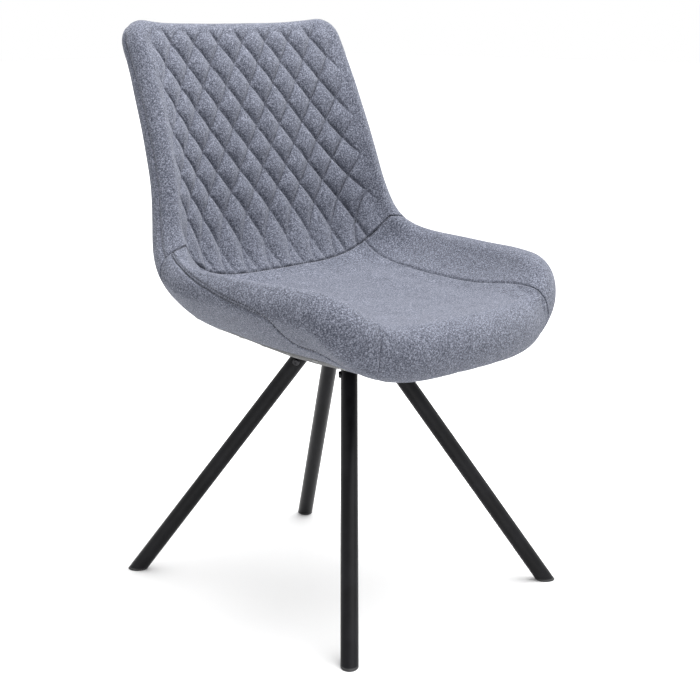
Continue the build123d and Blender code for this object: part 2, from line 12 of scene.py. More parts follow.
import bpy
import numpy as np
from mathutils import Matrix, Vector


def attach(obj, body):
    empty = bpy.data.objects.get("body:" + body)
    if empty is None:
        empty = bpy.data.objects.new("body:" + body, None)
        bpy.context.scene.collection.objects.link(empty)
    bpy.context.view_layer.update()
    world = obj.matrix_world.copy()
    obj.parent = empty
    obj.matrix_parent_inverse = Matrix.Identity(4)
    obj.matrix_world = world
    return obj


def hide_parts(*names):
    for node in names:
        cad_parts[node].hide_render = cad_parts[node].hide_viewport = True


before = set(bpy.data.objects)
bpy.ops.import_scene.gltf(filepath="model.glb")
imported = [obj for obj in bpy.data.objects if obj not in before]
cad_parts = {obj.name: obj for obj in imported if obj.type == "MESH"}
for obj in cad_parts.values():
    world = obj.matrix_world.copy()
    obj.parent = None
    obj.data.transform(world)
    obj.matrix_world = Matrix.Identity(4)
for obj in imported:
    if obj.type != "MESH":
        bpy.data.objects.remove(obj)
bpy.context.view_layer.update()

Array = np.ndarray
LOG = logging.getLogger("chair")


# ------------------------------------------------------------------ bucket form
@dataclass(frozen=True)
class Station:
    """One cross-section of the bucket's middle surface, in metres."""

    y: float
    z: float
    forward: float
    rise: float
    half_width: float
    half_thickness: float


@dataclass(frozen=True)
class BucketSizes:
    """Driving dimensions of the bucket's middle surface and its padding, in metres."""

    pan_height: float = 0.420       # middle surface at the lowest part of the seat
    seat_depth: float = 0.402       # centre line, from the front edge to the bend under the back
    front_edge: float = -0.256      # centre line's front end
    bend_rise: float = 0.058        # bend under the back, above the pan
    back_height: float = 0.373      # centre line, from the bend to the top of the back
    back_lean: float = 0.094        # the same stretch, measured backwards
    wing_rise: float = 0.079        # wing edge above the centre line
    waist_forward: float = 0.052    # edge line ahead of the centre line where the wing climbs
    front_half: float = 0.203       # half widths, from the front edge to the top
    shoulder_half: float = 0.231
    wing_half: float = 0.252
    waist_half: float = 0.233
    back_half: float = 0.215
    top_half: float = 0.205
    seat_pad: float = 0.037         # half thicknesses of the padding, from the seat to the back
    pan_pad: float = 0.032
    waist_pad: float = 0.027
    back_pad: float = 0.020

    def seat(self, share: float, drop: float, forward: float, rise: float, half_width: float,
             half_thickness: float) -> Station:
        """Station on the seat.

        Args:
            share: How far along the seat's depth it stands.
            drop: Height above the lowest part of the seat.
            forward: Edge ahead of the centre line.
            rise: Edge above the centre line, as a share of the wing's rise.
            half_width: Half width at the station.
            half_thickness: Half thickness of the padding there.

        Returns:
            The station.
        """
        return Station(self.front_edge + share * self.seat_depth, self.pan_height + drop, forward,
                       rise * self.wing_rise, half_width, half_thickness)

    def back(self, share: float, lean: float, forward: float, rise: float, half_width: float,
             half_thickness: float) -> Station:
        """Station on the back.

        Args:
            share: How far up the back's height it stands.
            lean: How far back it stands, as a share of the back's lean.
            forward: Edge ahead of the centre line, as a share of the waist's.
            rise: Edge above the centre line, as a share of the wing's rise.
            half_width: Half width at the station.
            half_thickness: Half thickness of the padding there.

        Returns:
            The station.
        """
        return Station(self.front_edge + self.seat_depth + lean * self.back_lean,
                       self.pan_height + self.bend_rise + share * self.back_height,
                       forward * self.waist_forward, rise * self.wing_rise, half_width, half_thickness)

    def stations(self) -> tuple[Station, ...]:
        """Stations from the front edge to the top of the back."""
        shoulder, wing, waist, back = self.shoulder_half, self.wing_half, self.waist_half, self.back_half
        return (
            self.seat(0.00, 0.005, 0.016, 0.11, self.front_half, self.seat_pad),
            self.seat(0.12, 0.002, 0.030, 0.66, part_way(self.front_half, shoulder, 0.64), self.seat_pad),
            self.seat(0.28, 0.000, 0.028, 0.97, shoulder, self.seat_pad),
            self.seat(0.48, 0.003, 0.027, 1.00, part_way(shoulder, wing, 0.50), self.seat_pad - 0.002),
            self.seat(0.68, 0.012, 0.031, 0.95, part_way(shoulder, wing, 0.83), self.pan_pad),
            self.seat(0.85, 0.024, 0.036, 0.86, wing - 0.001, self.pan_pad - 0.001),
            self.back(0.00, 0.00, 0.93, 0.68, part_way(waist, wing, 0.55), self.waist_pad),
            self.back(0.17, 0.31, 1.00, 0.39, waist, self.back_pad + 0.002),
            self.back(0.38, 0.47, 0.96, 0.17, part_way(waist, back, 0.60), self.back_pad),
            self.back(0.62, 0.65, 0.79, 0.06, back, self.back_pad),
            self.back(0.83, 0.82, 0.48, 0.08, part_way(back, self.top_half, 0.65), self.back_pad),
            self.back(1.00, 1.00, 0.21, 0.12, self.top_half, self.back_pad - 0.0005),
        )


def part_way(a: float, b: float, share: float) -> float:
    """Size part of the way from a to b.

    Args:
        a: Size at share 0.
        b: Size at share 1.
        share: How far from a to b.

    Returns:
        The size.
    """
    return a + (b - a) * share


STATIONS = BucketSizes().stations()


def natural_spline(knots: Sequence[float], values: Sequence) -> Callable[[Array], Array]:
    """Natural cubic spline through one or more columns of values.

    Args:
        knots: Rising parameter values.
        values: One row of values per knot.

    Returns:
        A function from parameters to an array with the columns as its last axis.
    """
    knots = np.asarray(knots, float)
    values = np.asarray(values, float).reshape(len(knots), -1)
    step = np.diff(knots)
    count = len(knots)
    matrix = np.eye(count)
    right = np.zeros_like(values)
    for i in range(1, count - 1):
        matrix[i, i - 1:i + 2] = step[i - 1], 2.0 * (step[i - 1] + step[i]), step[i]
        slopes = np.diff(values[i - 1:i + 2], axis=0) / step[i - 1:i + 1, None]
        right[i] = 6.0 * (slopes[1] - slopes[0])
    bend = np.linalg.solve(matrix, right)

    def evaluate(t: Array) -> Array:
        """Spline's values at parameters t."""
        t = np.asarray(t, float)
        k = np.clip(np.searchsorted(knots, t, side="right") - 1, 0, count - 2)
        before, after = (t - knots[k])[..., None], (knots[k + 1] - t)[..., None]
        width = step[k][..., None]
        cubic = (bend[k] * after**3 + bend[k + 1] * before**3) / (6.0 * width)
        linear = ((values[k] / width - bend[k] * width / 6.0) * after
                  + (values[k + 1] / width - bend[k + 1] * width / 6.0) * before)
        return cubic + linear

    return evaluate


def smooth_step(value: Array, low: float, high: float) -> Array:
    """Rise from 0 at low to 1 at high, level at both ends.

    Args:
        value: Where to evaluate it.
        low: Value at which the rise starts.
        high: Value at which it ends.

    Returns:
        Height of the rise, 0 to 1.
    """
    t = np.clip((value - low) / (high - low), 0.0, 1.0)
    return t * t * (3.0 - 2.0 * t)


def unit(vectors: Array) -> Array:
    """Vectors scaled to length one."""
    return vectors / np.maximum(np.linalg.norm(vectors, axis=-1, keepdims=True), 1e-12)


CORNER_POINTS = 600     # along a front corner of the outline, and along a top corner
SIDE_POINTS = 900       # along its straight side


@dataclass
class BucketForm:
    """Finished skin of the bucket.

    The middle surface is a function of q, a share of the half width, and s, a length from the seat's
    front edge to the top of the back. The skin is that surface moved out by the half thickness on
    both sides, joined round the outline by a half ellipse.

    A place on the skin is also (a, turn): a is the length along one side's outline from the middle of
    the front edge, and turn is 0 at the seat's spine, 1 at the start of the rounded edge, 2 at its end
    and 3 at the spine again, underneath.
    """

    section_power: float = 4.0
    nose_depth: float = 0.109
    nose_power: float = 2.3
    top_radius: float = 0.024
    roll_ratio: float = 0.77
    edge_q: float = 0.9995
    wing_slim: float = 0.50       # share of the padding taken off the wings' inner faces

    def __post_init__(self) -> None:
        """Fit the splines and tabulate the outline."""
        centre = np.array([(a.y, a.z) for a in STATIONS])
        edge = centre + np.array([(-a.forward, a.rise) for a in STATIONS])
        runs = np.linalg.norm(np.diff(centre, axis=0), axis=1)
        self.knots = np.concatenate([[0.0], np.cumsum(runs)])
        self.length = float(self.knots[-1])
        self.bend = float(self.knots[6])
        self._centre = natural_spline(self.knots, centre)
        self._edge = natural_spline(self.knots, edge)
        self._width = natural_spline(self.knots, [a.half_width for a in STATIONS])
        self._half = natural_spline(self.knots, [a.half_thickness for a in STATIONS])
        self.fan = float(self.front(np.array(self.edge_q)))
        turn = np.linspace(0.0, math.pi / 2, CORNER_POINTS)
        q_front = np.sin(turn) * self.edge_q
        s_side = np.linspace(self.fan, self.length - self.top_radius, SIDE_POINTS)[1:]
        q_top = np.sin(turn[::-1]) * self.edge_q
        self.out_q = np.concatenate([q_front, np.full_like(s_side, self.edge_q), q_top[1:]])
        self.out_s = np.concatenate([self.front(q_front), s_side, self.top(q_top)[1:]])
        points = self.middle(self.out_q, self.out_s)
        steps = np.linalg.norm(np.diff(points, axis=0), axis=1)
        self.out_a = np.concatenate([[0.0], np.cumsum(steps)])
        self.fan_angle = np.arctan2(self.fan - self.out_s[:CORNER_POINTS], self.out_q[:CORNER_POINTS])

    def front(self, q: Array) -> Array:
        """Length at which the outline starts: a superellipse in q."""
        rest = np.clip(1.0 - np.abs(q)**self.nose_power, 0.0, 1.0)
        return self.nose_depth * (1.0 - rest**(1.0 / self.nose_power))

    def top(self, q: Array) -> Array:
        """Length at which the outline ends: straight, with a round at each corner."""
        half = STATIONS[-1].half_width
        past = np.clip(np.abs(q) * half - (half - self.top_radius), 0.0, self.top_radius)
        return self.length - self.top_radius + np.sqrt(np.maximum(self.top_radius**2 - past**2, 0.0))

    def width(self, s: Array) -> Array:
        """Half width at length s."""
        return self._width(s)[..., 0]

    def half(self, s: Array) -> Array:
        """Half thickness at length s."""
        return self._half(s)[..., 0]

    def middle(self, q: Array, s: Array) -> Array:
        """Point of the middle surface: the spine moved towards the edge line by a power of q.

        Args:
            q: Share of the half width.
            s: Length along the spine.

        Returns:
            Points, in metres.
        """
        low, high = self._centre(s), self._edge(s)
        place = low + (high - low) * (np.abs(q)**self.section_power)[..., None]
        return np.stack([q * self.width(s), place[..., 0], place[..., 1]], -1)

    def normal(self, q: Array, s: Array) -> Array:
        """Unit normal of the middle surface, towards the sitter."""
        across = self.middle(q + 1e-4, s) - self.middle(q - 1e-4, s)
        along = self.middle(q, s + 5e-5) - self.middle(q, s - 5e-5)
        return unit(np.cross(across, along))

    def sheet(self, q: Array, s: Array, side: int) -> Array:
        """Finished surface on the sitter's side (+1) or the outside (-1).

        Args:
            q: Share of the half width.
            s: Length along the spine.
            side: +1 or -1.

        Returns:
            Points, in metres.
        """
        half = self.inner_half(q, s) if side > 0 else -self.half(s)
        return self.middle(q, s) + half[..., None] * self.normal(q, s)

    def inner_half(self, q: Array, s: Array) -> Array:
        """Padding on the sitter's side: the half thickness, slimmed on the wings' inner faces."""
        along = smooth_step(s, 0.03, 0.16) * (1.0 - smooth_step(s, 0.34, 0.45))
        return self.half(s) * (1.0 - self.wing_slim * along * smooth_step(np.abs(q), 0.45, 1.0))

    def outline(self, a: Array) -> tuple[Array, Array]:
        """q and s of the outline at length a."""
        return np.interp(a, self.out_a, self.out_q), np.interp(a, self.out_a, self.out_s)

    def a_of_s(self, s: Array) -> Array:
        """Outline length beside a length s on the straight side.

        Args:
            s: Length along the spine.

        Returns:
            Outline length.
        """
        side = slice(CORNER_POINTS - 1, CORNER_POINTS + SIDE_POINTS - 2)
        return np.interp(s, self.out_s[side], self.out_a[side])

    def a_of_q(self, q: float) -> float:
        """Outline length at which the front edge reaches q.

        Args:
            q: Share of the half width.

        Returns:
            Outline length.
        """
        return float(np.interp(q, self.out_q[:CORNER_POINTS], self.out_a[:CORNER_POINTS]))

    def skin(self, a: Array, turn: Array, side: int) -> Array:
        """Point of the skin at (a, turn) on one side of the chair, +1 the sitter's left.

        Args:
            a: Outline length from the middle of the front edge.
            turn: 0 at the spine, 1 to 2 round the edge, 3 at the spine underneath.
            side: +1 or -1.

        Returns:
            Points, in metres.
        """
        q_out, s_out = self.outline(a)
        spine = np.clip(s_out, self.fan, self.length - self.top_radius)
        share = np.where(turn < 1.0, turn, np.where(turn > 2.0, 3.0 - turn, 1.0))
        q, s = q_out * share, spine + (s_out - spine) * share
        half = np.where(turn <= 1.5, self.inner_half(q, s), -self.half(s))
        flat = self.middle(q, s) + half[..., None] * self.normal(q, s)
        round_edge = self.rounded(a, np.clip(turn, 1.0, 2.0))
        point = np.where(((turn > 1.0) & (turn < 2.0))[..., None], round_edge, flat)
        return point * np.array([side, 1.0, 1.0])

    def rounded(self, a: Array, turn: Array) -> Array:
        """Rounded edge: a half ellipse square to the outline, for the sitter's left side.

        Args:
            a: Outline length from the middle of the front edge.
            turn: 1 on the sitter's side to 2 outside.

        Returns:
            Points, in metres.
        """
        q, s = self.outline(a)
        point, normal = self.middle(q, s), self.normal(q, s)
        ahead = self.middle(*self.outline(a + 2e-3))
        behind = self.middle(*self.outline(np.abs(a - 2e-3)))
        behind[..., 0] *= np.where(a < 2e-3, -1.0, 1.0)
        outward = unit(np.cross(unit(ahead - behind), normal))
        angle = (turn - 1.0) * math.pi
        half = self.half(s)
        reach_in = np.where(angle < math.pi / 2, self.inner_half(q, s), half) * np.cos(angle)
        reach_out = half * self.roll_ratio * np.sin(angle)
        return point + reach_in[..., None] * normal + reach_out[..., None] * outward

    def locate(self, q: Array, s: Array) -> tuple[Array, Array]:
        """The (a, turn) of a place (q, s) on the sitter's side of the seat, for q at or above zero."""
        angle = np.arctan2(np.maximum(self.fan - s, 0.0), q)
        a_fan = np.interp(-angle, -self.fan_angle, self.out_a[:CORNER_POINTS])
        q_out, s_out = self.outline(a_fan)
        reach = np.hypot(q, self.fan - s) / np.hypot(q_out, self.fan - s_out)
        in_fan = s < self.fan
        return np.where(in_fan, a_fan, self.a_of_s(s)), np.where(in_fan, reach, q / self.edge_q)


FORM = BucketForm()


# ------------------------------------------------------------------ seams
@dataclass
class SeamPlan:
    """Where the cover's panels meet, in the form's own coordinates."""

    spine_seam: float = FORM.bend - 0.008     # back panel to seat panel, at the spine
    climb: float = 0.040                      # how much further up that seam is at the rounded edge
    outer_drop: float = 0.058                 # and how far it falls again on its way round the edge
    rear_hem: float = 0.049                   # rear cover's lower edge under the spine seam
    rear_q: float = 0.79                      # seat panel's half width at the back
    front_q: float = 0.88                     # and at the front edge
    under_q: float = 0.70                     # where the seat panel narrows to, under the front edge
    hem_turn: float = 2.20                    # where the covers end under the seat
    side_seam: float = 1.62                   # turn of the seam up the sides of the back
    meeting_turn: float = 2.12                # where a wing's two seams meet under the front edge
    rear_turn: float = 1.49                   # outer seam at the back end of the wing
    level_turn: float = 1.85                  # and where it levels out before the front corner
    fall: tuple[float, float] = (0.37, 0.56)    # outline lengths between which it goes from one to the other
    drop: tuple[float, float] = (0.295, 0.385)  # and between which it dips under the front edge

    def back_edge(self, q: Array) -> Array:
        """Length at which the seat's covers end on the sitter's side: it climbs with q to the fourth."""
        return self.spine_seam + self.climb * np.abs(q)**4

    def ring(self, turn: Array) -> Array:
        """The same length all the way round the side, as a function of turn."""
        round_the_edge = self.spine_seam + self.climb - self.outer_drop * np.clip(turn - 1.0, 0.0, 1.0)
        below = self.under_edge(3.0 - turn)
        return np.where(turn <= 1.0, self.back_edge(turn), np.where(turn >= 2.0, below, round_the_edge))

    def under_edge(self, q: Array) -> Array:
        """Length at which the seat's covers end underneath."""
        outer = self.spine_seam + self.climb - self.outer_drop
        inner = self.spine_seam - self.rear_hem
        return inner + (outer - inner) * np.clip(np.abs(q), 0.0, 1.0)**3

    def inner_turn(self, a: Array) -> Array:
        """Turn of the seat panel's side seam at outline length a."""
        a_front, a_under = FORM.a_of_q(self.front_q), FORM.a_of_q(self.under_q)
        q, s = self.seat_side(np.linspace(0.0, 1.0, 200))
        a_on, turn_on = FORM.locate(q, s)
        order = np.argsort(a_on)
        past = np.clip((a_front - a) / (a_front - a_under), 0.0, 1.0)
        wrapped = 1.0 + (self.meeting_turn - 1.0) * past**0.8
        return np.where(a < a_front, wrapped, np.interp(a, a_on[order], turn_on[order]))

    def seat_side(self, t: Array) -> tuple[Array, Array]:
        """The seat panel's side seam on the sitter's side: (q, s) from the back (0) to the front edge (1)."""
        q = self.rear_q + (self.front_q - self.rear_q) * t**3
        return q, self.back_edge(q) + (FORM.front(q) - self.back_edge(q)) * t

    def outer_turn(self, a: Array) -> Array:
        """Turn of the seam along a wing's outside: high at the back, level, then down to the front edge.

        Args:
            a: Outline length.

        Returns:
            The seam's turn there.
        """
        gentle = (self.level_turn - self.rear_turn) * (1.0 - smooth_step(a, *self.fall))
        steep = (self.meeting_turn - self.level_turn) * (1.0 - smooth_step(a, *self.drop))
        return self.rear_turn + gentle + steep


SEAMS = SeamPlan()


# ------------------------------------------------------------------ meshes
@dataclass
class Skin:
    """A cover's surface before it becomes a piece.

    Attributes:
        points: Vertices.
        blocks: Grids of vertex numbers; together they tile the surface.
        rim: Closed loop of vertex numbers round the edge, which the surface keeps on its left.
        cloth: Position of each vertex on its cloth, in metres.
    """

    points: Array
    blocks: list[Array]
    rim: Array
    cloth: Array

    @classmethod
    def grid(cls, points: Array, flip: bool = False) -> "Skin":
        """Skin of a grid of points; its cloth map is the length along the grid's own lines."""
        across = grid_runs(points, 1)
        cloth = np.stack([across - across.mean(1, keepdims=True), grid_runs(points, 0)], -1).reshape(-1, 2)
        block = np.arange(points.shape[0] * points.shape[1]).reshape(points.shape[:2])
        block = block[:, ::-1] if flip else block
        return cls(points.reshape(-1, 3), [block], grid_rim(block), cloth)

    def faces(self, step: int = 1) -> Array:
        """Quads over every step-th line of the blocks."""
        return np.concatenate([block_faces(block[::step, ::step]) for block in self.blocks])

    def normals(self) -> Array:
        """Vertex normals: the sum of the neighbouring quads' diagonal products."""
        faces = self.faces()
        corners = self.points[faces]
        flat = np.cross(corners[:, 2] - corners[:, 0], corners[:, 3] - corners[:, 1])
        total = np.zeros_like(self.points)
        for corner in range(4):
            np.add.at(total, faces[:, corner], flat)
        return unit(total)

    def moved(self, points: Array) -> "Skin":
        """The skin with other points."""
        return Skin(points, self.blocks, self.rim, self.cloth)

    def lifted(self, lift: Array) -> "Skin":
        """The skin moved out along its normals."""
        return self.moved(self.points + lift.reshape(-1, 1) * self.normals())


def grid_rim(block: Array) -> Array:
    """Closed loop round a grid of vertex numbers, in the order of its quads."""
    return np.concatenate([block[0, :-1], block[:-1, -1], block[-1, :0:-1], block[:0:-1, 0]])


def crowded(count: int, amount: float = 0.75) -> Array:
    """Numbers from 0 to 1 whose spacing shrinks towards both ends."""
    t = np.linspace(0.0, 1.0, count)
    return t - amount * np.sin(2.0 * math.pi * t) / (2.0 * math.pi)


def grid_runs(points: Array, axis: int) -> Array:
    """Length along a grid's lines from their first point."""
    steps = np.linalg.norm(np.diff(points, axis=axis), axis=-1)
    pad = [(0, 0), (0, 0)]
    pad[axis] = (1, 0)
    return np.cumsum(np.pad(steps, pad), axis=axis)


def grid_margins(points: Array) -> tuple[Array, Array, Array, Array]:
    """Distance to a grid's first row, last row, first column and last column."""
    down, across = grid_runs(points, 0), grid_runs(points, 1)
    return down, down[-1:] - down, across, across[:, -1:] - across


def seam_dip(distance: Array, depth: float = 0.0024, width: float = 0.0022) -> Array:
    """How far the cover is pulled in near a seam: a bell of the distance to it."""
    return -depth * np.exp(-(distance / width)**2)


def block_faces(block: Array) -> Array:
    """Quads of a grid of vertex numbers; they face along columns x rows."""
    return np.stack([block[:-1, :-1], block[:-1, 1:], block[1:, 1:], block[1:, :-1]], -1).reshape(-1, 4)


def make_mesh(name: str, points: Array, faces: list, cloth: Array | None = None) -> bpy.types.Object:
    """Object from vertices, quads and an optional cloth map per vertex.

    Args:
        name: Object name.
        points: Vertices.
        faces: Rows of vertex indices.
        cloth: Position of each vertex on its cloth, in metres.

    Returns:
        The linked object, shaded smooth.
    """
    mesh = bpy.data.meshes.new(name)
    mesh.from_pydata(points.tolist(), [], faces)
    if cloth is not None:
        layer = mesh.uv_layers.new(name="cloth")
        corners = np.empty(len(mesh.loops), np.int32)
        mesh.loops.foreach_get("vertex_index", corners)
        layer.data.foreach_set("uv", cloth[corners].astype(np.float32).ravel())
    mesh.polygons.foreach_set("use_smooth", np.ones(len(mesh.polygons), bool))
    mesh.update()
    piece = bpy.data.objects.new(name, mesh)
    bpy.context.scene.collection.objects.link(piece)
    return piece


def closed_pad(name: str, skin: Skin, under: Array, step: int = 4) -> bpy.types.Object:
    """Closed piece: the skin, a coarser inner side below it and a rim that joins both.

    The inner side keeps every step-th line of the skin's blocks. Each face of the rim spans one of
    its edges and the fine edges beside it.

    Args:
        name: Object name.
        skin: Outer side.
        under: Inner position of each of the skin's vertices.
        step: Fine edges for each inner edge.
    """
    inner = skin.faces(step)
    used, coarse = np.unique(inner, return_inverse=True)
    count = len(skin.points)
    inner_faces = coarse.reshape(inner.shape)[:, ::-1] + count
    fine = np.append(skin.rim, skin.rim[0])
    starts = np.arange(0, len(skin.rim), step)
    outer = fine[starts[:, None] + np.arange(step + 1)]
    below = np.searchsorted(used, fine[np.stack([starts, starts + step], 1)]) + count
    rim = np.concatenate([outer[:, ::-1], below], 1)
    faces = skin.faces().tolist() + inner_faces.tolist() + rim.tolist()
    return make_mesh(name, np.concatenate([skin.points, under[used]]), faces,
                     np.concatenate([skin.cloth, skin.cloth[used]]))


def soft_noise(points: Array, scale: float, seed: int) -> Array:
    """Smooth unevenness in -1 to 1: a sum of sines in random directions.

    Args:
        points: Positions, last axis 3.
        scale: Rough size of a bump, in metres.
        seed: Fixed seed of the directions and phases.
    """
    rng = np.random.default_rng(seed)
    waves = unit(rng.normal(size=(9, 3))) * (2.0 * math.pi / scale) * rng.uniform(0.6, 1.5, (9, 1))
    phases = rng.uniform(0.0, 2.0 * math.pi, 9)
    return np.sin(points @ waves.T + phases).mean(-1)


# ------------------------------------------------------------------ cloth
@dataclass
class Inflation:
    """Cloth simulation of a cover over its foam: pressure lifts it where nothing holds it down."""

    pressure: float
    cap: float                    # furthest that a point may move, in metres
    frames: int = 10
    slack: float = -0.004         # negative shrink leaves spare cloth
    stride: int = 2               # lines of the cover for each simulated line

    def run(self, skin: Skin, held: Array) -> Skin:
        """Swell the first block of a cover and return the cover with its points moved.

        The simulation runs on every second line of the block, with the block's border sewn down;
        the lines between move by the mean of their neighbours.

        Args:
            skin: The cover before it swells.
            held: 1 where the cloth is sewn down, 0 where it is free.
        """
        block = skin.blocks[0]
        coarse = block[::self.stride, ::self.stride]
        rows, columns = coarse.shape
        start = skin.points[coarse].reshape(-1, 3)
        weights = held.ravel()[coarse]
        weights[[0, -1]] = weights[:, [0, -1]] = 1.0
        number = np.arange(rows * columns).reshape(rows, columns)
        moved = self.simulate(start, block_faces(number), weights.ravel())
        step = moved - start
        reach = np.linalg.norm(step, axis=1, keepdims=True)
        LOG.info("cloth moved %.1f mm at most", 1000.0 * reach.max())
        step *= self.cap * np.tanh(reach / self.cap) / np.maximum(reach, 1e-9)
        step = between(between(step.reshape(rows, columns, 3), self.stride).swapaxes(0, 1), self.stride)
        points = skin.points.copy()
        points[block] += step.swapaxes(0, 1)
        return skin.moved(points)

    def simulate(self, start: Array, faces: Array, weights: Array) -> Array:
        """Run the cloth from its start points and return where they end."""
        piece = make_mesh("cover_on_test", start, faces.tolist())
        group = piece.vertex_groups.new(name="sewn")
        levels = np.round(np.clip(weights, 0.0, 1.0) * 20.0) / 20.0
        for level in np.unique(levels[levels > 0.0]):
            group.add(np.flatnonzero(levels == level).tolist(), float(level), "REPLACE")
        modifier = piece.modifiers.new("cloth", "CLOTH")
        settings = modifier.settings
        settings.quality = 4
        settings.mass = 0.30
        settings.tension_stiffness = settings.compression_stiffness = 15.0
        settings.shear_stiffness = 8.0
        settings.bending_stiffness = 2.0
        settings.air_damping = 3.0
        settings.vertex_group_mass = "sewn"
        settings.pin_stiffness = 4.0
        settings.shrink_min = self.slack
        settings.use_pressure = True
        settings.uniform_pressure_force = self.pressure
        settings.effector_weights.gravity = 0.0
        modifier.collision_settings.use_collision = False
        modifier.collision_settings.use_self_collision = False
        modifier.point_cache.frame_start, modifier.point_cache.frame_end = 1, self.frames
        scene = bpy.context.scene
        for frame_number in range(1, self.frames + 1):
            scene.frame_set(frame_number)
        swollen = piece.evaluated_get(bpy.context.evaluated_depsgraph_get())
        moved = np.empty(start.size, np.float32)
        swollen.data.vertices.foreach_get("co", moved)
        bpy.data.objects.remove(piece, do_unlink=True)
        scene.frame_set(1)
        return moved.reshape(-1, 3).astype(float)


def between(rows: Array, stride: int) -> Array:
    """Rows with stride - 1 evenly mixed rows put between each pair."""
    share = np.arange(stride)[None, :, None, None] / stride
    mixed = rows[:-1, None] * (1.0 - share) + rows[1:, None] * share
    return np.concatenate([mixed.reshape(-1, *rows.shape[1:]), rows[-1:]])


# ------------------------------------------------------------------ shader writing
class Wire:
    """A shader socket that can be used in Python arithmetic."""

    def __init__(self, dressing: "Dressing", socket: bpy.types.NodeSocket) -> None:
        """Keep the socket and the dressing that it belongs to."""
        self.dressing, self.socket = dressing, socket

    def _math(self, operation: str, *values: "Wire | float") -> "Wire":
        """Add one Math node."""
        return self.dressing.node("ShaderNodeMath", {"operation": operation}, dict(enumerate(values)))

    def __add__(self, other: "Wire | float") -> "Wire":
        """Sum."""
        return self._math("ADD", self, other)

    def __radd__(self, other: float) -> "Wire":
        """Sum with a number in front."""
        return self._math("ADD", other, self)

    def __sub__(self, other: "Wire | float") -> "Wire":
        """Difference."""
        return self._math("SUBTRACT", self, other)

    def __rsub__(self, other: float) -> "Wire":
        """Number less this."""
        return self._math("SUBTRACT", other, self)

    def __mul__(self, other: "Wire | float") -> "Wire":
        """Product."""
        return self._math("MULTIPLY", self, other)

    def __rmul__(self, other: float) -> "Wire":
        """Product with a number in front."""
        return self._math("MULTIPLY", other, self)

    def __pow__(self, other: float) -> "Wire":
        """Power."""
        return self._math("POWER", self, other)

    def sine(self) -> "Wire":
        """Sine."""
        return self._math("SINE", self)


class Dressing:
    """A material under construction, with a Principled shader."""

    def __init__(self, name: str) -> None:
        """Start an empty material."""
        self.material = bpy.data.materials.new(name)
        self.material.use_nodes = True
        self.tree = self.material.node_tree
        self.shader = self.tree.nodes["Principled BSDF"]

    def node(self, kind: str, settings: dict, inputs: dict, output: int | str = 0) -> Wire:
        """Add a node.

        Args:
            kind: Node type.
            settings: Attributes, set first; "ramp" is a list of (position, colour) stops.
            inputs: Socket name or index to a value or a Wire.
            output: Socket that the returned wire reads.

        Returns:
            The chosen output as a Wire.
        """
        made = self.tree.nodes.new(kind)
        for key, value in settings.items():
            if key == "ramp":
                self._stops(made.color_ramp, value)
            else:
                setattr(made, key, value)
        for key, value in inputs.items():
            self.plug(made.inputs[key], value)
        return Wire(self, made.outputs[output])

    @staticmethod
    def _stops(ramp: bpy.types.ColorRamp, stops: Sequence) -> None:
        """Give a colour ramp its stops."""
        while len(ramp.elements) < len(stops):
            ramp.elements.new(0.5)
        for element, (position, colour) in zip(ramp.elements, stops):
            element.position, element.color = position, (*colour, 1.0)

    def plug(self, socket: bpy.types.NodeSocket, value: "Wire | float | Sequence[float]") -> None:
        """Link a wire into a socket, or set a constant on it."""
        if isinstance(value, Wire):
            self.tree.links.new(value.socket, socket)
        else:
            socket.default_value = value

    def set(self, **sockets: "Wire | float | Sequence[float]") -> None:
        """Set the shader's sockets; underscores in a name stand for spaces."""
        for name, value in sockets.items():
            self.plug(self.shader.inputs[name.replace("_", " ")], value)

    def place(self) -> Wire:
        """Position on the object, in metres."""
        return self.node("ShaderNodeTexCoord", {}, {}, "Object")

    def cloth(self) -> Wire:
        """Position on the cloth, in metres."""
        return self.node("ShaderNodeUVMap", {"uv_map": "cloth"}, {})

    def noise(self, where: Wire, scale: float, detail: float = 2.0, roughness: float = 0.5) -> Wire:
        """Noise with about scale bumps to a metre."""
        return self.node("ShaderNodeTexNoise", {}, {"Vector": where, "Scale": scale, "Detail": detail,
                                                    "Roughness": roughness}, "Fac")

    def ramp(self, factor: Wire, *stops: tuple) -> Wire:
        """Colour ramp."""
        return self.node("ShaderNodeValToRGB", {"ramp": stops}, {"Fac": factor}, "Color")

    def blend(self, factor: "Wire | float", first: "Wire | Sequence[float]", second: "Wire | Sequence[float]",
              mode: str = "MIX") -> Wire:
        """Mix of two colours."""
        first = first if isinstance(first, Wire) else (*first, 1.0)
        second = second if isinstance(second, Wire) else (*second, 1.0)
        return self.node("ShaderNodeMix", {"data_type": "RGBA", "blend_type": mode},
                         {0: factor, 6: first, 7: second}, 2)

    def bump(self, height: Wire, distance: float, strength: float = 1.0) -> Wire:
        """Normal from a height."""
        return self.node("ShaderNodeBump", {}, {"Strength": strength, "Distance": distance, "Height": height},
                         "Normal")


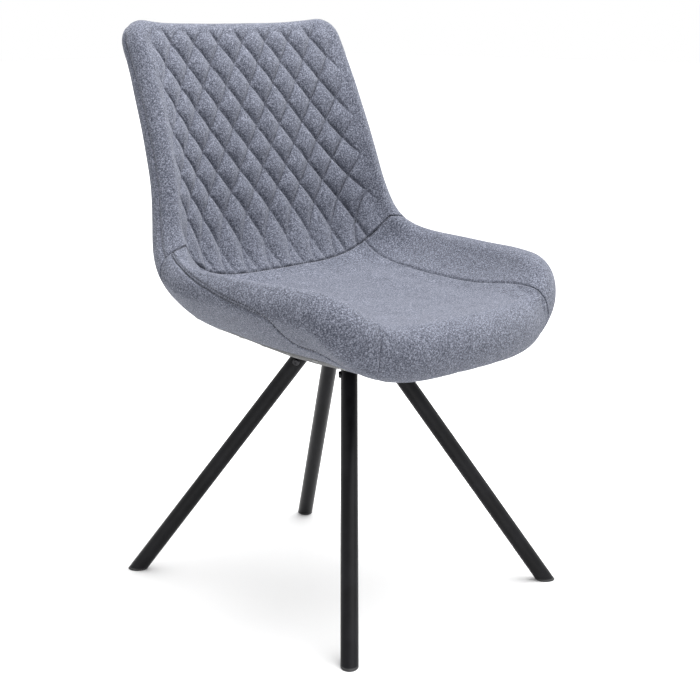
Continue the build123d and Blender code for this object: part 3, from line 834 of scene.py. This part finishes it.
@dataclass(frozen=True)
class MelangeCloth:
    """Heathered woven cloth: light and dark fibres spun together in a plain weave."""

    dark: tuple[float, float, float] = (0.018, 0.020, 0.030)
    middle: tuple[float, float, float] = (0.074, 0.080, 0.104)
    light: tuple[float, float, float] = (0.235, 0.248, 0.302)
    yarn: float = 0.0011          # pitch of the weave
    sheen: float = 0.15

    def material(self) -> bpy.types.Material:
        """Build the material; it follows the piece's cloth map."""
        dress = Dressing("melange_cloth")
        place, cloth = dress.place(), dress.cloth()
        fibres = dress.noise(place, 900.0, 3.0, 0.75)
        flecks = dress.noise(place, 430.0, 2.0, 0.6)
        clouds = dress.noise(place, 38.0, 3.0, 0.55)
        tone = fibres * 0.54 + flecks * 0.42 + clouds * 0.04
        colour = dress.ramp(tone, (0.38, self.dark), (0.50, self.middle), (0.62, self.light))
        split = dress.node("ShaderNodeSeparateXYZ", {}, {0: cloth}, "X")
        along = Wire(dress, split.socket.node.outputs["Y"])
        turn = 2.0 * math.pi / self.yarn
        weave = (split * turn).sine() * (along * turn).sine()
        threads = weave * 0.5 + 0.5
        shade = dress.ramp(threads, (0.0, (0.86, 0.86, 0.87)), (1.0, (1.0, 1.0, 1.0)))
        dress.set(Base_Color=dress.blend(1.0, colour, shade, "MULTIPLY"),
                  Roughness=0.93, Specular_IOR_Level=0.18, Sheen_Weight=self.sheen, Sheen_Roughness=0.5,
                  Sheen_Tint=(0.90, 0.93, 1.0, 1.0),
                  Normal=dress.bump(threads * 0.6 + fibres * 0.8, 0.0006, 0.55))
        return dress.material


@dataclass(frozen=True)
class SewingThread:
    """Matt twisted thread, a shade darker than the cloth."""

    colour: tuple[float, float, float] = (0.012, 0.013, 0.018)

    def material(self) -> bpy.types.Material:
        """Build the material."""
        dress = Dressing("sewing_thread")
        strands = dress.noise(dress.place(), 2400.0, 2.0, 0.6)
        pale = tuple(2.0 * channel for channel in self.colour)
        dress.set(Base_Color=dress.ramp(strands, (0.35, self.colour), (0.65, pale)), Roughness=0.7,
                  Normal=dress.bump(strands, 0.0002, 0.5))
        return dress.material


@dataclass(frozen=True)
class PowderCoat:
    """Satin black powder coat with a fine orange peel and faint rubbing."""

    colour: tuple[float, float, float] = (0.0040, 0.0040, 0.0048)
    roughness: float = 0.36

    def material(self) -> bpy.types.Material:
        """Build the material."""
        dress = Dressing("black_powder_coat")
        place = dress.place()
        peel = dress.noise(place, 900.0, 2.0, 0.5)
        rubs = dress.noise(place, 24.0, 4.0, 0.6)
        worn = tuple(2.2 * channel for channel in self.colour)
        dress.set(Base_Color=dress.ramp(rubs, (0.40, self.colour), (0.75, worn)),
                  Roughness=rubs * 0.14 + (self.roughness - 0.07), Specular_IOR_Level=0.13,
                  Normal=dress.bump(peel, 0.0002, 0.35))
        return dress.material


@dataclass(frozen=True)
class MouldedPlastic:
    """Matt moulded plastic with a fine spark-eroded grain and scuffs."""

    name: str
    colour: tuple[float, float, float] = (0.014, 0.014, 0.015)
    roughness: float = 0.55

    def material(self) -> bpy.types.Material:
        """Build the material."""
        dress = Dressing(self.name)
        place = dress.place()
        grain = dress.noise(place, 1800.0, 2.0, 0.6)
        scuffs = dress.noise(place, 70.0, 4.0, 0.7)
        scuffed = tuple(min(1.0, 2.6 * channel) for channel in self.colour)
        dress.set(Base_Color=dress.ramp(scuffs, (0.45, self.colour), (0.8, scuffed)),
                  Roughness=scuffs * 0.2 + (self.roughness - 0.1), Normal=dress.bump(grain, 0.00015, 0.5))
        return dress.material


@dataclass(frozen=True)
class PlatedSteel:
    """Bare or plated steel with fine turning marks."""

    name: str
    colour: tuple[float, float, float]
    roughness: float = 0.32
    metal: float = 1.0

    def material(self) -> bpy.types.Material:
        """Build the material."""
        dress = Dressing(self.name)
        place = dress.place()
        marks = dress.noise(place, 1200.0, 3.0, 0.7)
        tarnish = dress.noise(place, 160.0, 3.0, 0.6)
        dull = tuple(0.62 * channel for channel in self.colour)
        dress.set(Base_Color=dress.ramp(tarnish, (0.4, self.colour), (0.75, dull)), Metallic=self.metal,
                  Roughness=marks * 0.2 + (self.roughness - 0.1), Normal=dress.bump(marks, 0.0001, 0.4))
        return dress.material


@dataclass(frozen=True)
class SpunCloth:
    """Black spun-bonded cloth: pressed fibres with an embossed grid of dots."""

    colour: tuple[float, float, float] = (0.012, 0.012, 0.013)

    def material(self) -> bpy.types.Material:
        """Build the material."""
        dress = Dressing("spun_cloth")
        place, cloth = dress.place(), dress.cloth()
        fibres = dress.noise(place, 900.0, 4.0, 0.75)
        split = dress.node("ShaderNodeSeparateXYZ", {}, {0: cloth}, "X")
        along = Wire(dress, split.socket.node.outputs["Y"])
        turn = 2.0 * math.pi / 0.0028
        dots = ((split * turn).sine() * (along * turn).sine() + 1.0) * 0.5
        pale = tuple(3.4 * channel for channel in self.colour)
        dress.set(Base_Color=dress.ramp(fibres * 0.8 + dots * 0.2, (0.35, self.colour), (0.75, pale)),
                  Roughness=0.9, Sheen_Weight=0.15, Normal=dress.bump(dots * 0.6 + fibres * 0.6, 0.0005, 0.6))
        return dress.material


@dataclass(frozen=True)
class Foam:
    """Moulded polyurethane foam."""

    def material(self) -> bpy.types.Material:
        """Build the material."""
        dress = Dressing("moulded_foam")
        cells = dress.noise(dress.place(), 700.0, 3.0, 0.7)
        dress.set(Base_Color=dress.ramp(cells, (0.3, (0.50, 0.45, 0.30)), (0.7, (0.78, 0.72, 0.53))),
                  Roughness=0.95, Normal=dress.bump(cells, 0.0008, 0.8))
        return dress.material


@dataclass(frozen=True)
class Plywood:
    """Moulded beech plywood."""

    def material(self) -> bpy.types.Material:
        """Build the material."""
        dress = Dressing("beech_plywood")
        place = dress.place()
        stretched = dress.node("ShaderNodeMapping", {}, {"Vector": place, "Scale": (60.0, 4.0, 4.0)})
        grain = dress.noise(stretched, 6.0, 6.0, 0.65)
        dress.set(Base_Color=dress.ramp(grain, (0.3, (0.42, 0.27, 0.14)), (0.7, (0.66, 0.48, 0.29))),
                  Roughness=0.6, Normal=dress.bump(grain, 0.0004, 0.4))
        return dress.material


# ------------------------------------------------------------------ finishing a piece
def finish_piece(piece: bpy.types.Object, material: bpy.types.Material,
                 replaced: Sequence[str] = ()) -> bpy.types.Object:
    """Give a piece its material and body, and hide the CAD nodes that it stands for."""
    piece.data.materials.clear()
    piece.data.materials.append(material)
    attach(piece, "root")
    if replaced:
        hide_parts(*replaced)
    LOG.info("%s: %d faces", piece.name, len(piece.data.polygons))
    return piece


@dataclass
class Stitching:
    """Rows of thread stitches: each is a small spindle that dips at both ends."""

    length: float = 0.0034
    pitch: float = 0.0044
    radius: float = 0.00060
    places: list[Array] = field(default_factory=list)
    headings: list[Array] = field(default_factory=list)
    ups: list[Array] = field(default_factory=list)

    def sew(self, line: Array, normal: Array) -> None:
        """Add a row of stitches along a line of points on the cloth."""
        runs = np.concatenate([[0.0], np.cumsum(np.linalg.norm(np.diff(line, axis=0), axis=1))])
        if runs[-1] < 2.0 * self.pitch:
            return
        at = np.arange(self.pitch / 2, runs[-1] - self.pitch / 2, self.pitch)
        pick = lambda t, rows: np.stack([np.interp(t, runs, rows[:, k]) for k in range(3)], -1)
        here, ahead = pick(at - self.length / 2, line), pick(at + self.length / 2, line)
        self.places.append((here + ahead) / 2)
        self.headings.append(unit(ahead - here))
        self.ups.append(unit(pick(at, normal)))

    def follow(self, skin: Skin, margin: Array, offset: float, across: bool = True) -> None:
        """Sew a row at a fixed distance from one border of a grid.

        Args:
            skin: The grid's skin.
            margin: Distance of each vertex to the border.
            offset: The row's distance to the border.
            across: True where the border is the first or last column, False for a row.
        """
        points = skin.points.reshape(*margin.shape, 3)
        normals = skin.normals().reshape(*margin.shape, 3)
        if not across:
            margin, points, normals = margin.T, points.swapaxes(0, 1), normals.swapaxes(0, 1)
        if margin[0, 0] < margin[0, -1]:
            margin, points, normals = margin[:, ::-1], points[:, ::-1], normals[:, ::-1]
        wide = np.flatnonzero(margin[:, 0] > 3.0 * offset)
        margin, points, normals = margin[wide], points[wide], normals[wide]
        line = np.arange(len(wide))
        near = (margin > offset).sum(1) - 1
        high, low = margin[line, near], margin[line, near + 1]
        share = ((high - offset) / (high - low))[:, None]
        mix = lambda grid: grid[line, near] * (1.0 - share) + grid[line, near + 1] * share
        self.sew(mix(points), mix(normals))

    def build(self, name: str) -> bpy.types.Object:
        """One piece with every stitch: rings of four points along a spindle, closed at both ends."""
        along = np.array([-0.5, -0.25, 0.25, 0.5])
        swell = np.array([0.35, 1.0, 1.0, 0.35])
        rise = np.array([-0.5, 0.35, 0.35, -0.5])
        turn = np.arange(4) * math.pi / 2
        ring = np.stack([np.cos(turn), np.sin(turn)], -1)
        local = np.zeros((4, 4, 3))
        local[..., 0] = (along * self.length)[:, None]
        local[..., 1] = self.radius * swell[:, None] * ring[None, :, 0]
        local[..., 2] = self.radius * (swell[:, None] * ring[None, :, 1] + rise[:, None])
        local = local.reshape(16, 3)
        place, heading, up = (np.concatenate(rows) for rows in (self.places, self.headings, self.ups))
        side = unit(np.cross(up, heading))
        axes = np.stack([heading, side, np.cross(heading, side)], 1)
        points = place[:, None] + local @ axes
        quads = []
        for k in range(3):
            for j in range(4):
                a, b = 4 * k + j, 4 * k + (j + 1) % 4
                quads.append([a, b, b + 4, a + 4])
        quads += [[3, 2, 1, 0], [12, 13, 14, 15]]
        quads = np.array(quads)[:, ::-1]
        faces = (quads[None] + 16 * np.arange(len(points))[:, None, None]).reshape(-1, 4)
        return make_mesh(name, points.reshape(-1, 3), faces.tolist())


# ------------------------------------------------------------------ seat
@dataclass
class SeatUpholstery:
    """Seat panel, wing panels and side covers over the bucket's lower half."""

    cloth: bpy.types.Material
    stitching: Stitching
    crown: float = 0.004          # how far the seat swells above the moulded form
    topstitch: float = 0.0050     # from the outer seam to the row beside it
    front_wrap: float = 0.060     # length of cover that goes round the front edge
    pad_thickness: float = 0.007

    def seat_grid(self, columns: int = 129, rows: int = 133, wrap_rows: int = 61) -> Array:
        """Grid of the seat panel from the back seam over the front edge to the hem underneath.

        The upper part shares its rows out between the back seam and the front outline; the rest goes
        round the front edge at equal turns, narrowing as the side seams run together.
        """
        u = 2.0 * crowded(columns, 0.6) - 1.0
        a_front, a_under = FORM.a_of_q(SEAMS.front_q), FORM.a_of_q(SEAMS.under_q)
        q_front = np.sign(u) * FORM.outline(np.abs(u) * a_front)[0]
        t = np.linspace(0.0, 1.0, rows)[:, None]
        q = u * SEAMS.rear_q + (q_front - u * SEAMS.rear_q) * t**3
        s = SEAMS.back_edge(q) + (FORM.front(q) - SEAMS.back_edge(q)) * t
        upper = FORM.sheet(q, s, 1)
        turn = np.linspace(1.0, SEAMS.hem_turn, wrap_rows)[1:, None]
        past = np.clip((turn - 1.0) / (SEAMS.meeting_turn - 1.0), 0.0, 1.0)**1.25
        a = np.abs(u) * (a_front - (a_front - a_under) * past)
        wrap = FORM.skin(a, np.broadcast_to(turn, a.shape), 1)
        wrap[..., 0] *= np.where(u < 0.0, -1.0, 1.0)
        return np.concatenate([upper, wrap])

    def open_seam(self, to_hem: Array) -> Array:
        """How plainly the seat's side seams show: they close up on their way round the front edge.

        Args:
            to_hem: Distance to the hem under the front edge.

        Returns:
            Share of the seam's full depth.
        """
        return 0.12 + 0.88 * smooth_step(to_hem, self.front_wrap, self.front_wrap + 0.03)

    def seat_panel(self) -> bpy.types.Object:
        """The seat's middle: crowned, sewn down at the back and along both sides."""
        grid = self.seat_grid()
        back, hem, left, right = grid_margins(grid)
        edge = np.minimum(np.minimum(back, left), right)
        lift = self.crown * smooth_step(edge, 0.0, 0.075) * smooth_step(hem, 0.02, 0.10)
        lift = lift + seam_dip(edge) * self.open_seam(hem) + 0.0006 * soft_noise(grid, 0.09, 3)
        base = Skin.grid(grid, flip=True)
        under = base.lifted(np.full(edge.shape, -self.pad_thickness)).points
        held = np.exp(-(np.minimum(edge, hem) / 0.004)**2)
        skin = Inflation(pressure=0.4, cap=0.003).run(base.lifted(lift), held)
        self.stitching.follow(skin, back, 0.0012, across=False)
        piece = closed_pad("seat_panel_padded", skin, under)
        nodes = ("seat_panel", "seat_foam", "front_edge_roll")
        return finish_piece(piece, self.cloth, nodes)

    def side_grid(self, inner: Callable[[Array], Array], outer: Callable[[Array], Array], rows: int,
                  columns: int) -> tuple[Array, Array]:
        """Places (a, turn) between two seams given as functions of a, from the front end to the back.

        Rows crowd towards the front end, where the seams wrap quickly, and swing at the back to end
        on the seam that goes round the bucket.
        """
        a_front, a_end = FORM.a_of_q(SEAMS.under_q), float(FORM.a_of_s(SEAMS.back_edge(np.array(1.0))))
        share = np.linspace(0.0, 1.0, rows)**1.5
        a_row = (a_front + (a_end - a_front) * share)[:, None]
        c = crowded(columns)[None, :]
        first, last = inner(a_row), outer(a_row)
        turn = first + (last - first) * c
        swing = smooth_step(share[:, None], 0.72, 1.0)
        a = a_row + (FORM.a_of_s(SEAMS.ring(turn)) - a_end) * swing
        return a, turn

    def wing_panel(self, name: str, side: int) -> bpy.types.Object:
        """A wing's inner side and top, from the seat's side seam to the outer seam."""
        a, turn = self.side_grid(SEAMS.inner_turn, SEAMS.outer_turn, 173, 69)
        grid = FORM.skin(a, turn, side)
        front, back, inner, outer = grid_margins(grid)
        edge = np.minimum(np.minimum(inner, outer), back)
        narrow = smooth_step(inner + outer, 0.0, 0.03)
        hidden = seam_dip(inner) * (1.0 - self.open_seam(front))
        lift = (seam_dip(edge) - hidden) * narrow + 0.0007 * soft_noise(grid, 0.07, 5 + side)
        lift = lift - 0.0009 * np.exp(-((outer - self.topstitch) / 0.0014)**2) * narrow
        base = Skin.grid(grid, flip=side < 0)
        under = base.lifted(np.full(edge.shape, -self.pad_thickness)).points
        held = np.exp(-(np.minimum(edge, front) / 0.006)**2)
        skin = Inflation(pressure=0.4, cap=0.002).run(base.lifted(lift), held)
        for offset in (0.0012, self.topstitch):
            self.stitching.follow(skin, outer, offset)
        self.stitching.follow(skin, back, 0.0012, across=False)
        piece = closed_pad(name + "_wing_panel_padded", skin, under)
        nodes = [name + "_wing_panel", name + "_wing_foam", name + "_wing_roll"]
        return finish_piece(piece, self.cloth, nodes)

    def side_cover(self, name: str, side: int) -> bpy.types.Object:
        """A wing's outside, from the outer seam to the hem underneath."""
        hem = lambda a: np.full_like(a, SEAMS.hem_turn)
        a, turn = self.side_grid(SEAMS.outer_turn, hem, 153, 41)
        grid = FORM.skin(a, turn, side)
        front, back, seam, _ = grid_margins(grid)
        edge = np.minimum(seam, back)
        base = Skin.grid(grid, flip=side < 0)
        lift = seam_dip(edge) * smooth_step(front, 0.0, 0.03) + 0.0006 * soft_noise(grid, 0.08, 9 + side)
        under = base.lifted(np.full(edge.shape, -self.pad_thickness)).points
        piece = closed_pad(name + "_side_cover_padded", base.lifted(lift), under)
        return finish_piece(piece, self.cloth, [name + "_side_cover"])

    def build(self) -> None:
        """Build every piece of the seat."""
        self.seat_panel()
        for name, side in (("left", 1), ("right", -1)):
            self.wing_panel(name, side)
            self.side_cover(name, side)


# ------------------------------------------------------------------ back
@dataclass
class Quilting:
    """Diamond quilting on the cloth map: two families of seams that cross.

    Attributes:
        slopes: How far each family's seams move sideways for each metre up.
        pitches: Distance between neighbouring seams of each family, measured sideways.
        phases: Sideways place of one seam of each family.
        puff: Height of a pillow over its seams.
        notch: Depth of the crease that the thread pulls in, and its half width.
        waist: Height above the bottom seam below which the seams steepen.
        steepen: How fast they do.
    """

    slopes: tuple[float, float] = (0.79, -0.74)
    pitches: tuple[float, float] = (0.0502, 0.0495)
    phases: tuple[float, float] = (0.0200, 0.0240)
    puff: float = 0.0080
    notch: tuple[float, float] = (0.0020, 0.0018)
    waist: float = 0.14
    steepen: float = 3.4

    def height(self, s: Array) -> Array:
        """Height up the cloth in the quilting's own measure."""
        return s + self.steepen * np.clip(SEAMS.spine_seam + self.waist - s, 0.0, None)**2

    def families(self, cloth: Array) -> tuple[Array, Array]:
        """Line numbers of both families; a seam lies where one is whole."""
        y = self.height(cloth[..., 1])
        return tuple((cloth[..., 0] + slope * y - phase) / pitch
                     for slope, pitch, phase in zip(self.slopes, self.pitches, self.phases))

    def distance(self, cloth: Array) -> Array:
        """Distance to the nearest seam."""
        off = [np.abs(number - np.round(number)) * pitch / math.hypot(1.0, slope)
               for number, pitch, slope in zip(self.families(cloth), self.pitches, self.slopes)]
        return np.minimum(*off)

    def lift(self, cloth: Array) -> Array:
        """Height of the quilted surface: a pillow in each diamond and a notch at each seam."""
        one, two = self.families(cloth)
        pillow = np.abs(np.sin(math.pi * one) * np.sin(math.pi * two))**0.5
        depth, width = self.notch
        return self.puff * pillow - depth * np.exp(-(self.distance(cloth) / width)**2)

    def seams(self, s: Array) -> list[Array]:
        """Sideways place of every seam at the heights s."""
        y = self.height(s)
        return [phase + pitch * number - slope * y
                for slope, pitch, phase in zip(self.slopes, self.pitches, self.phases)
                for number in range(-25, 26)]


@dataclass
class BackUpholstery:
    """Quilted front panel and plain rear cover of the back."""

    cloth: bpy.types.Material
    stitching: Stitching
    quilting: Quilting = field(default_factory=Quilting)
    plain_border: float = 0.036   # the quilting fades out this far from the side seam
    sunk: float = 0.4             # share of the pillows' height that lies below the moulded form
    pad_thickness: float = 0.008

    def framed_sheet(self, face: int, columns: int, rows: int, band_rows: int) -> tuple[Skin, Array, Array]:
        """One face of the back with the rounded edge up both sides and over the top.

        A grid covers the flat of the face. Along its left, top and right borders a band carries on
        round the edge to the side seam.

        Args:
            face: +1 for the sitter's side, -1 for the rear.
            columns: Grid columns, crowded towards the sides.
            rows: Grid rows.
            band_rows: Rows round the edge.

        Returns:
            The skin, each vertex's distance to the bottom seam, and its distance to the side seam.
        """
        q = np.sin(np.linspace(-1.0, 1.0, columns) * math.asin(0.985)) / 0.985 * FORM.edge_q
        t = np.linspace(0.0, 1.0, rows)[:, None]**1.06
        low = SEAMS.back_edge(q) if face > 0 else SEAMS.under_edge(q)
        s = low + (FORM.top(q) - low) * t
        q = np.broadcast_to(q, s.shape)
        flat = FORM.sheet(q, s, face)
        flat_cloth = np.stack([q * FORM.width(s), s], -1)
        index = np.arange(rows * columns).reshape(rows, columns)
        path = np.concatenate([index[:, 0], index[-1, 1:-1], index[::-1, -1]])
        path_q, path_s = q.ravel()[path], s.ravel()[path]
        on_top = np.zeros(len(path), bool)
        on_top[rows:-rows] = True
        top_part = FORM.out_s > FORM.length - FORM.top_radius - 1e-6
        a_top = np.interp(-np.abs(path_q), -FORM.out_q[top_part], FORM.out_a[top_part])
        start, end = (1.0, SEAMS.side_seam) if face > 0 else (2.0, SEAMS.side_seam)
        turns = np.linspace(start, end, band_rows + 1)[1:]
        high = FORM.length - FORM.top_radius
        low_start = float(SEAMS.ring(np.array(start)))
        rows_of_band, cloth_of_band = [], []
        arc = FORM.half(path_s) * 0.5 * (1.0 + FORM.roll_ratio) * math.pi
        outward = self.flat_outward(flat_cloth.reshape(-1, 2)[path])
        for turn in turns:
            low_here = float(SEAMS.ring(np.array(turn)))
            slid = low_here + (path_s - low_start) * (high - low_here) / (high - low_start)
            a = np.where(on_top, a_top, FORM.a_of_s(slid))
            point = FORM.skin(a, np.full_like(a, turn), 1)
            point[:, 0] *= np.where(path_q < 0.0, -1.0, 1.0)
            rows_of_band.append(point)
            beyond = outward * (arc * abs(turn - start))[:, None]
            cloth_of_band.append(flat_cloth.reshape(-1, 2)[path] + beyond)
        points = np.concatenate([flat.reshape(-1, 3)] + rows_of_band)
        cloth = np.concatenate([flat_cloth.reshape(-1, 2)] + cloth_of_band)
        count = rows * columns
        rings = np.concatenate([path[None], count + np.arange(band_rows * len(path)).reshape(band_rows, -1)])
        rim = np.concatenate([index[0, :-1], rings[:-1, -1], rings[-1, :0:-1], rings[:0:-1, 0]])
        blocks = [index, rings]
        if face < 0:
            blocks, rim = [block[:, ::-1] for block in blocks], np.roll(rim[::-1], 1)
        total_arc = arc.mean() * abs(end - start)
        x_margin = FORM.width(s) - np.abs(flat_cloth[..., 0]) + total_arc
        y_margin = FORM.top(q) - s + total_arc
        flat_margin = np.minimum(x_margin, y_margin).ravel()
        band_margin = np.concatenate([np.full(len(path), total_arc * (1.0 - (k + 1) / band_rows))
                                      for k in range(band_rows)])
        bottom = np.concatenate([(s - low).ravel()] + [path_s - low_start] * band_rows)
        return Skin(points, blocks, rim, cloth), bottom, np.concatenate([flat_margin, band_margin])

    @staticmethod
    def flat_outward(path: Array) -> Array:
        """Outward direction of a clockwise path on the cloth."""
        along = np.gradient(path, axis=0)
        return unit(np.stack([-along[:, 1], along[:, 0]], -1))

    def quilted_panel(self) -> bpy.types.Object:
        """Front of the back: diamond quilting that fades out at the plain border."""
        base, bottom, side = self.framed_sheet(1, 297, 241, 12)
        inside = FORM.width(np.clip(base.cloth[:, 1], 0.0, FORM.length)) - np.abs(base.cloth[:, 0])
        to_top = FORM.length - base.cloth[:, 1]
        fade = smooth_step(inside, 0.0, self.plain_border) * smooth_step(to_top, -0.004, 0.016)
        lift = fade * self.quilting.lift(base.cloth) - fade * self.sunk * self.quilting.puff
        lift = lift + seam_dip(np.minimum(bottom, side)) + 0.0006 * soft_noise(base.points, 0.05, 21)
        to_quilting = self.quilting.distance(base.cloth) / np.maximum(fade, 0.05)
        near = np.minimum(to_quilting, np.minimum(bottom, side))
        held = np.exp(-(near / 0.0025)**2)
        skin = Inflation(pressure=0.5, cap=0.0015, frames=8).run(base.lifted(lift), held)
        under = base.lifted(np.full(len(base.points), -self.pad_thickness)).points
        piece = closed_pad("quilted_back_panel_padded", skin, under)
        self.sew_quilting()
        return finish_piece(piece, self.cloth, ("quilted_back_panel", "back_foam"))

    def sew_quilting(self) -> None:
        """Stitches along the quilting seams, in the bottom of their notches."""
        depth = self.sunk * self.quilting.puff + self.quilting.notch[0]
        s = np.arange(SEAMS.spine_seam + 0.004, FORM.length - 0.004, 0.002)
        for x in self.quilting.seams(s):
            q = x / FORM.width(s)
            inside = (FORM.width(s) - np.abs(x) > self.plain_border) & (s > SEAMS.back_edge(q) + 0.004)
            if inside.sum() > 8:
                qs, ss = q[inside], s[inside]
                normal = FORM.normal(qs, ss)
                self.stitching.sew(FORM.sheet(qs, ss, 1) - depth * normal, normal)

    def rear_cover(self) -> bpy.types.Object:
        """Rear of the back, drawn tight, from the side seams round to the seat's rear hem."""
        base, bottom, side = self.framed_sheet(-1, 121, 113, 16)
        lift = seam_dip(side) + 0.0008 * soft_noise(base.points, 0.10, 33)
        held = np.exp(-(np.minimum(bottom, side) / 0.004)**2)
        skin = Inflation(pressure=0.4, cap=0.003).run(base.lifted(lift), held)
        under = base.lifted(np.full(len(base.points), -self.pad_thickness)).points
        piece = closed_pad("rear_cover_padded", skin, under)
        nodes = ("rear_cover", "rear_padding", "top_band", "top_edge_roll", "left_back_roll",
                 "right_back_roll")
        return finish_piece(piece, self.cloth, nodes)

    def build(self) -> None:
        """Build every piece of the back."""
        self.quilted_panel()
        self.rear_cover()


# ------------------------------------------------------------------ underside
@dataclass
class Underside:
    """Dust cover under the seat."""

    cloth: bpy.types.Material
    thickness: float = 0.0006
    overlap: float = 0.035        # how far the cloth laps over the covers' hems, as a turn
    proud: float = 0.0012

    def dust_cover(self) -> bpy.types.Object:
        """Spun cloth stretched over the underside, from hem to hem.

        Each row goes across the seat at one place along it; the front rows follow the front edge.
        """
        columns, rows = 81, 93
        u = np.linspace(-1.0, 1.0, columns)
        share = 3.0 - SEAMS.hem_turn + self.overlap
        t = np.linspace(0.0, 1.0, rows)[:, None]
        q = u * share * np.ones_like(t)
        q_edge = np.abs(u) * 0.999
        front_s = FORM.fan + (FORM.front(q_edge) - FORM.fan) * share
        last = SEAMS.under_edge(q) + 0.004
        s = front_s + (last - front_s) * t
        grid = FORM.sheet(q, s, -1)
        front, back, left, right = grid_margins(grid)
        edge = np.minimum(np.minimum(front, back), np.minimum(left, right))
        base = Skin.grid(grid).lifted(np.full(edge.shape, self.proud))
        sag = 0.0010 * np.abs(soft_noise(grid, 0.045, 41)) * smooth_step(edge, 0.0, 0.02)
        skin = base.lifted(sag)
        piece = closed_pad("dust_cover_cloth", skin, base.lifted(sag.ravel() - self.thickness).points)
        corners = skin.points[skin.faces()]
        area = 0.5 * np.linalg.norm(np.cross(corners[:, 2] - corners[:, 0], corners[:, 3] - corners[:, 1]),
                                    axis=1).sum()
        return finish_piece(piece, self.cloth, ("dust_cover", "under_padding"))

    def build(self) -> None:
        """Build the underside."""
        self.dust_cover()


# ------------------------------------------------------------------ frame nodes
class FinishKind(Enum):
    """Finishes that the CAD nodes take, by the start of the node's name."""

    POWDER_COAT = ("leg_front", "leg_rear", "mounting_plate")
    GLIDE = ("foot_glide",)
    SPACER = ("spacers",)
    SPIGOT = ("leg_spigot",)
    ZINC = ("plate_washers", "tee_nuts", "staples")
    BLACK_SCREW = ("plate_screws", "leg_screws")
    PLYWOOD = ("plywood_shell",)


@dataclass
class FrameDressing:
    """Materials of the CAD nodes that stay in view."""

    def finishes(self) -> dict[FinishKind, bpy.types.Material]:
        """One material for each kind of finish."""
        return {
            FinishKind.POWDER_COAT: PowderCoat().material(),
            FinishKind.GLIDE: MouldedPlastic("glide_plastic").material(),
            FinishKind.SPACER: MouldedPlastic("spacer_nylon", (0.02, 0.02, 0.021)).material(),
            FinishKind.SPIGOT: PlatedSteel("spigot_steel", (0.42, 0.42, 0.43)).material(),
            FinishKind.ZINC: PlatedSteel("zinc_plate", (0.62, 0.63, 0.62)).material(),
            FinishKind.BLACK_SCREW: PlatedSteel("black_oxide", (0.045, 0.045, 0.048), 0.42).material(),
            FinishKind.PLYWOOD: Plywood().material(),
        }

    def build(self, foam: bpy.types.Material) -> None:
        """Dress every node, the hidden foam included."""
        finishes = self.finishes()
        for name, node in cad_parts.items():
            chosen = foam
            for kind, material in finishes.items():
                if name.startswith(kind.value):
                    chosen = material
            for material_slot in node.material_slots:
                material_slot.material = chosen


# ------------------------------------------------------------------ studio
@dataclass
class Studio:
    """Camera, plain pale floor and soft light."""

    eye: tuple[float, float, float] = (-1.6212, -1.5650, 0.8909)
    target: tuple[float, float, float] = (0.0, -0.023, 0.3795)
    lens: float = 77.08
    floor_size: float = 40.0

    def camera(self) -> None:
        """Camera with a square frame in mind."""
        data = bpy.data.cameras.new("camera")
        data.lens, data.sensor_width = self.lens, 36.0
        data.clip_start, data.clip_end = 0.05, 100.0
        camera = bpy.data.objects.new("camera", data)
        camera.location = self.eye
        camera.rotation_euler = (Vector(self.target) - Vector(self.eye)).to_track_quat("-Z", "Y").to_euler()
        bpy.context.scene.collection.objects.link(camera)
        bpy.context.scene.camera = camera

    def floor(self) -> None:
        """Large pale floor."""
        half = self.floor_size / 2
        corners = np.array([[-half, -half, 0.0], [half, -half, 0.0], [half, half, 0.0], [-half, half, 0.0]])
        piece = make_mesh("floor", corners, [[0, 1, 2, 3]])
        dress = Dressing("floor_paint")
        dress.set(Base_Color=(0.76, 0.76, 0.76, 1.0), Roughness=0.9, Specular_IOR_Level=0.0)
        piece.data.materials.append(dress.material)

    def sun(self, heading: Sequence[float], strength: float, spread: float) -> None:
        """Broad, soft light from one direction.

        Args:
            heading: From the chair towards the light.
            strength: Power over an area facing it.
            spread: Its width as seen from the chair, in degrees.
        """
        data = bpy.data.lights.new("soft_key", "SUN")
        data.energy, data.angle = strength, math.radians(spread)
        lamp = bpy.data.objects.new("soft_key", data)
        lamp.location = Vector(heading) * 3.0
        lamp.rotation_euler = Vector(heading).to_track_quat("Z", "Y").to_euler()
        bpy.context.scene.collection.objects.link(lamp)

    def lamp(self, place: Sequence[float], size: float, power: float) -> None:
        """Square lamp above the seat, aimed straight down."""
        data = bpy.data.lights.new("top_light", "AREA")
        data.shape, data.size, data.energy = "SQUARE", size, power
        lamp = bpy.data.objects.new("top_light", data)
        lamp.location = place
        bpy.context.scene.collection.objects.link(lamp)

    def sky(self) -> None:
        """Even white surroundings."""
        world = bpy.data.worlds.new("studio")
        bpy.context.scene.world = world
        world.use_nodes = True
        background = world.node_tree.nodes["Background"]
        background.inputs["Color"].default_value = (1.0, 1.0, 1.0, 1.0)
        background.inputs["Strength"].default_value = 1.0

    def build(self) -> None:
        """Build the studio."""
        self.camera()
        self.floor()
        self.sky()
        self.sun((0.34, -0.30, 1.0), 4.2, 80.0)
        self.lamp((0.05, -0.15, 2.1), 0.7, 34.0)
        bpy.context.scene.view_settings.view_transform = "Standard"


def main() -> None:
    """Build the chair round its frame, and the studio."""
    logging.basicConfig(level=logging.INFO, format="%(name)s: %(message)s")
    cloth = MelangeCloth().material()
    stitching = Stitching()
    Studio().build()
    SeatUpholstery(cloth, stitching).build()
    BackUpholstery(cloth, stitching).build()
    finish_piece(stitching.build("seam_stitching"), SewingThread().material())
    Underside(SpunCloth().material()).build()
    FrameDressing().build(Foam().material())


if __name__ == "__main__":
    main()
